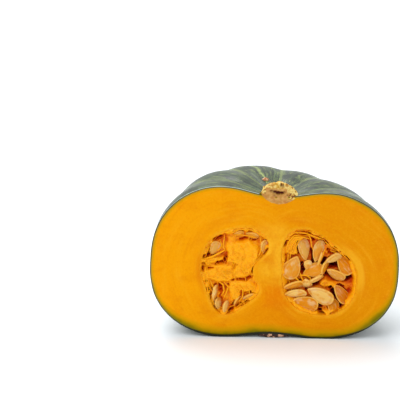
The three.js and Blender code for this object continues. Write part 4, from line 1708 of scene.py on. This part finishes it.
@dataclass
class Pulp:
    """The matted pulp of one chamber, with its lumps, crevices and strands.

    A strand is a list of rows of x, depth, z and radius.
    """

    side: Side
    finish: bpy.types.Material
    step: float = 0.42
    back: float = 17.0
    margin: float = 0.8
    threads: int = 60
    thread_steps: int = 10
    foremost_thread: float = 0.6

    @property
    def chamber(self) -> Chamber:
        """Gives the chamber that the pulp fills."""
        return CHAMBERS[self.side]

    def _front(self, x: np.ndarray, z: np.ndarray) -> np.ndarray:
        """Shapes the pulp's front: its bed, its lumps, the seeds' beds and the crevices.

        Args:
            x: The places' x on the cut face.
            z: Their z.

        Returns:
            How far behind the cut face the pulp's front lies there.
        """

        def raised(depth: np.ndarray, level: np.ndarray, share: np.ndarray) -> np.ndarray:
            """Brings the front up to a level where share is 1, but never down to it."""
            return depth + (np.minimum(level, depth) - depth) * share

        flat = np.column_stack([x, z, np.zeros_like(x)])
        broad, lumpy = grain(flat, (0.11, 0.11, 0), 2), grain(flat, (0.3, 0.3, 0), 5)
        depth = self.chamber.bed + 1.8 * broad + 1.3 * lumpy
        at_wall = smooth(self.chamber.inside(x, z) + 1.2 * broad, 4.6, 0.9)
        depth = raised(depth, 1.5 + 1.2 * lumpy + 0.8 * broad, at_wall)
        for lump in self.chamber.lumps:
            inside = lump.inside(x, z) + 1.4 * lumpy
            level = lump.front + lump.crown * (0.6 * broad + 0.7 * lumpy) - 0.5 * smooth(inside, 3, 0.6)
            depth = raised(depth, level, smooth(inside, -1.2, 1.7))
        for seed in self.chamber.seeds:
            away = seed.away(x, z)
            depth = raised(depth, seed.depth + 1.7 + 1.8 * away**2, smooth(away, 1.12, 0.78))
        bent_x = x + 0.8 * grain(flat, (0.35, 0.35, 0), 21)
        bent_z = z + 0.8 * grain(flat, (0.35, 0.35, 0), 33)
        for crevice in self.chamber.crevices:
            share = smooth(crevice.away(bent_x, bent_z), 1.9, 0.3)
            depth = depth + (np.maximum(crevice.deep, depth) - depth) * share
        return np.maximum(depth + 0.42 * grain(flat, (0.55, 1.3, 0), 9), 0.5)

    def _bed(self) -> bpy.types.Object:
        """Makes the closed body of the pulp.

        Returns:
            The mesh's object, in the fruit's frame.
        """
        outline = np.array(self.chamber.outline)
        low, high = outline.min(axis=0) - 1, outline.max(axis=0) + 1
        middle, size = (low + high) / 2, high - low
        deselect()
        bpy.ops.mesh.primitive_grid_add(
            x_subdivisions=int(size[0] / self.step),
            y_subdivisions=int(size[1] / self.step),
            size=1,
            location=(middle[0], 0, middle[1]),
            rotation=(math.pi / 2, 0, 0),
        )
        bed = bpy.context.object
        bed.scale = (size[0], size[1], 1)
        bpy.ops.object.transform_apply(location=True, rotation=True, scale=True)
        points = read_vertices(bed)
        delete_vertices(bed, self.chamber.inside(points[:, 0], points[:, 2]) < -self.margin)
        points = read_vertices(bed)
        points[:, 1] = self._front(points[:, 0], points[:, 2])
        set_points(bed, points)
        beyond = self.back + float(points[:, 1].max())
        pick(bed)
        bpy.ops.object.mode_set(mode="EDIT")
        bpy.ops.mesh.select_all(action="SELECT")
        bpy.ops.mesh.extrude_region_move(TRANSFORM_OT_translate={"value": (0, beyond, 0)})
        bpy.ops.object.mode_set(mode="OBJECT")
        points = read_vertices(bed)
        points[points[:, 1] > beyond, 1] = self.back
        set_points(bed, points)
        bpy.ops.object.mode_set(mode="EDIT")
        bpy.ops.mesh.select_all(action="SELECT")
        bpy.ops.mesh.normals_make_consistent(inside=False)
        bpy.ops.object.mode_set(mode="OBJECT")
        return bed

    def _at(self, share: float, turn: float) -> Place:
        """Gives the place at a share of the way from the chamber's middle to its wall."""
        out = share * float(self.chamber.reach(np.array([turn]))[0])
        return self.chamber.middle[0] + out * math.cos(turn), self.chamber.middle[1] + out * math.sin(turn)

    def _front_at(self, x: float, z: float) -> float:
        """Gives how far behind the cut face the pulp's front lies at one place."""
        return float(self._front(np.array([x]), np.array([z]))[0])

    def _arc(self, draw: random.Random) -> list[tuple[float, ...]]:
        """Draws a strand that follows the chamber's wall.

        Args:
            draw: Where the random draws come from.

        Returns:
            The strand's rows, or none where the wall is bare.
        """
        start, spread = draw.uniform(-math.pi, math.pi), draw.uniform(0.25, 0.9)
        share, drift = draw.uniform(0.78, 0.99), draw.uniform(-0.1, 0.06)
        shallow, thick = draw.uniform(0.5, 5.0), draw.uniform(0.16, 0.42)
        first, last = self.chamber.bare
        if first < math.degrees(start) < last:
            return []
        rows = []
        for step in range(self.thread_steps + 1):
            along = step / self.thread_steps
            x, z = self._at(share + drift * math.sin(math.pi * along), start + spread * (along - 0.5))
            under = self._front_at(x, z)
            ends = (2 * along - 1) ** 4
            depth = min(under, shallow + 1.5) * (1 - ends) + (under + 1) * ends
            rows.append((x, max(depth - 0.2, self.foremost_thread), z, thick * (1 - 0.7 * ends)))
        return rows

    def _across(self, draw: random.Random) -> list[tuple[float, ...]]:
        """Draws a strand that runs over the pulp between two places.

        Args:
            draw: Where the random draws come from.

        Returns:
            The strand's rows, or none where too little of it is in the chamber.
        """
        turn, reach = draw.uniform(0, 2 * math.pi), draw.uniform(0.1, 0.85)
        heading, length = draw.uniform(0, 2 * math.pi), draw.uniform(7, 18)
        bend, thick = draw.uniform(-0.25, 0.25) * length, draw.uniform(0.12, 0.3)
        middle_x, middle_z = self._at(reach, turn)
        places = []
        for step in range(self.thread_steps + 1):
            along = step / self.thread_steps
            sway = bend * math.sin(math.pi * along)
            x = middle_x + length * (along - 0.5) * math.cos(heading) - sway * math.sin(heading)
            z = middle_z + length * (along - 0.5) * math.sin(heading) + sway * math.cos(heading)
            if float(self.chamber.inside(np.array([x]), np.array([z]))[0]) >= 0.3:
                places.append((x, z))
        if len(places) < 5:
            return []
        depths = np.array([self._front_at(x, z) for x, z in places])
        taut = np.convolve(np.pad(depths, 2, mode="edge"), np.ones(5) / 5, mode="valid")
        taut[[0, -1]] += 0.8
        return [
            (x, max(float(depth) - 0.25, self.foremost_thread), z, thick)
            for (x, z), depth in zip(places, taut)
        ]

    @staticmethod
    def _placed(cord: Cord) -> list[tuple[float, ...]]:
        """Gives one of the chamber's own cords as a strand.

        Args:
            cord: The cord.

        Returns:
            The strand's rows, which thin out towards its ends.
        """
        knots = np.array(cord.line)
        steps = np.linspace(0, len(knots) - 1, 4 * len(knots))
        x, z, depth = (np.interp(steps, np.arange(len(knots)), column) for column in knots.T)
        radius = cord.thick * (1 - 0.6 * np.linspace(-1, 1, len(steps)) ** 4)
        return [tuple(float(value) for value in row) for row in zip(x, depth, z, radius)]

    def _strands(self) -> bpy.types.Object:
        """Makes the loose threads and the cords as tubes.

        Returns:
            The mesh's object, in the fruit's frame.
        """
        draw = random.Random(self.chamber.draw)
        curve = bpy.data.curves.new("strands", "CURVE")
        curve.dimensions = "3D"
        curve.bevel_depth = 1.0
        curve.bevel_resolution = 1
        curve.resolution_u = 3
        curve.use_fill_caps = True
        drawn = [self._arc(draw) if number % 2 else self._across(draw) for number in range(2 * self.threads)]
        placed = [self._placed(cord) for cord in self.chamber.cords]
        for rows in filter(None, drawn + placed):
            spline = curve.splines.new("NURBS")
            spline.points.add(len(rows) - 1)
            for point, (x, y, z, radius) in zip(spline.points, rows):
                point.co = (x, y, z, 1)
                point.radius = radius
            spline.use_endpoint_u = True
            spline.order_u = 4
        strands = bpy.data.objects.new("strands", curve)
        bpy.context.collection.objects.link(strands)
        pick(strands)
        bpy.ops.object.convert(target="MESH")
        return bpy.context.object

    def build(self) -> None:
        """Makes the pulp as one piece."""
        pulp = join([self._bed(), self._strands()])
        points = read_vertices(pulp)
        set_attributes(pulp, depth=points[:, 1])
        set_points(pulp, STANCE.place(points))
        node = f"pulp_{self.side.value}"
        hand_over(pulp, f"{node}_mat", self.finish, "pulp", node)


# The studio


@dataclass(frozen=True)
class Lamp:
    """A square soft light: where it hangs and looks, in metres, its size and its power in watts."""

    name: str
    place: Triple
    aim: Triple
    size: float
    power: float

    def build(self) -> None:
        """Hangs the light."""
        deselect()
        bpy.ops.object.light_add(type="AREA", location=self.place)
        lamp = bpy.context.object
        lamp.name = self.name
        lamp.rotation_euler = (Vector(self.aim) - Vector(self.place)).to_track_quat("-Z", "Y").to_euler()
        lamp.data.size = self.size
        lamp.data.energy = self.power


@dataclass
class Studio:
    """A pale floor, soft lights and the camera at the picture's viewing angle."""

    camera_place: Triple = (-0.73, -1250.73, 542.19)
    aimed_left: float = math.radians(2.568656)
    aimed_down: float = math.radians(19.753896)
    lens: float = 158.067
    sensor: float = 36.0
    sky: float = 0.76
    floor_size: float = 12.0
    floor_colour: Colour = (0.86, 0.9, 0.93)
    lamps: tuple[Lamp, ...] = (
        Lamp("overhead", (-0.3, 0.5, 1.3), (0, 0, 0.05), 1.1, 13.8),
        Lamp("front", (-0.6, -0.9, 1.5), (0, -0.2, 0), 1.2, 11.4),
    )

    def _floor(self) -> None:
        """Lays the floor."""
        deselect()
        bpy.ops.mesh.primitive_plane_add(size=self.floor_size, location=(0, 2.0, 0))
        floor = bpy.context.object
        floor.name = "floor"
        floor.data.materials.append(Graph("floor").finish(Base_Color=self.floor_colour, Roughness=0.7))

    def _sky(self) -> None:
        """Fills the surroundings with plain white light."""
        world = bpy.data.worlds.new("studio")
        bpy.context.scene.world = world
        world.use_nodes = True
        backdrop = world.node_tree.nodes["Background"]
        backdrop.inputs["Color"].default_value = (1, 1, 1, 1)
        backdrop.inputs["Strength"].default_value = self.sky

    def _camera(self) -> None:
        """Sets up the camera."""
        deselect()
        bpy.ops.object.camera_add(location=Vector(self.camera_place) * MM)
        camera = bpy.context.object
        level = math.cos(self.aimed_down)
        aside, ahead = math.sin(self.aimed_left), math.cos(self.aimed_left)
        look = Vector((-aside * level, ahead * level, -math.sin(self.aimed_down)))
        camera.rotation_euler = look.to_track_quat("-Z", "Y").to_euler()
        camera.data.lens = self.lens
        camera.data.sensor_width = self.sensor
        camera.data.clip_end = 100
        bpy.context.scene.camera = camera
        bpy.context.scene.view_settings.view_transform = "Standard"

    def build(self) -> None:
        """Sets the stage."""
        self._floor()
        self._sky()
        for lamp in self.lamps:
            lamp.build()
        self._camera()


def main() -> None:
    """Builds the half squash piece by piece and sets the stage."""
    logging.basicConfig(level=logging.INFO, format="%(name)s: %(message)s")
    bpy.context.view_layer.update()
    Rind().build()
    Flesh().build()
    Stalk().build()
    Scar("blossom_scar", middle=(2.5, 0.4, -52.6), size=(11.4, 8.0, 2.1), halved=True).build()
    wart = ScarFinish(dark=srgb(186, 122, 82), fleck=srgb(226, 190, 150), share=0.5)
    Scar("wart", middle=(-9.1, 22.6, 62.0), size=(2.3, 1.6, 1.5), finish=wart).build()
    seed_coat, pulp_mat = SeedFinish().build(), PulpFinish().build()
    for side in Side:
        Seeds(side, seed_coat).build()
        Pulp(side, pulp_mat).build()
    Studio().build()


if __name__ == "__main__":
    main()
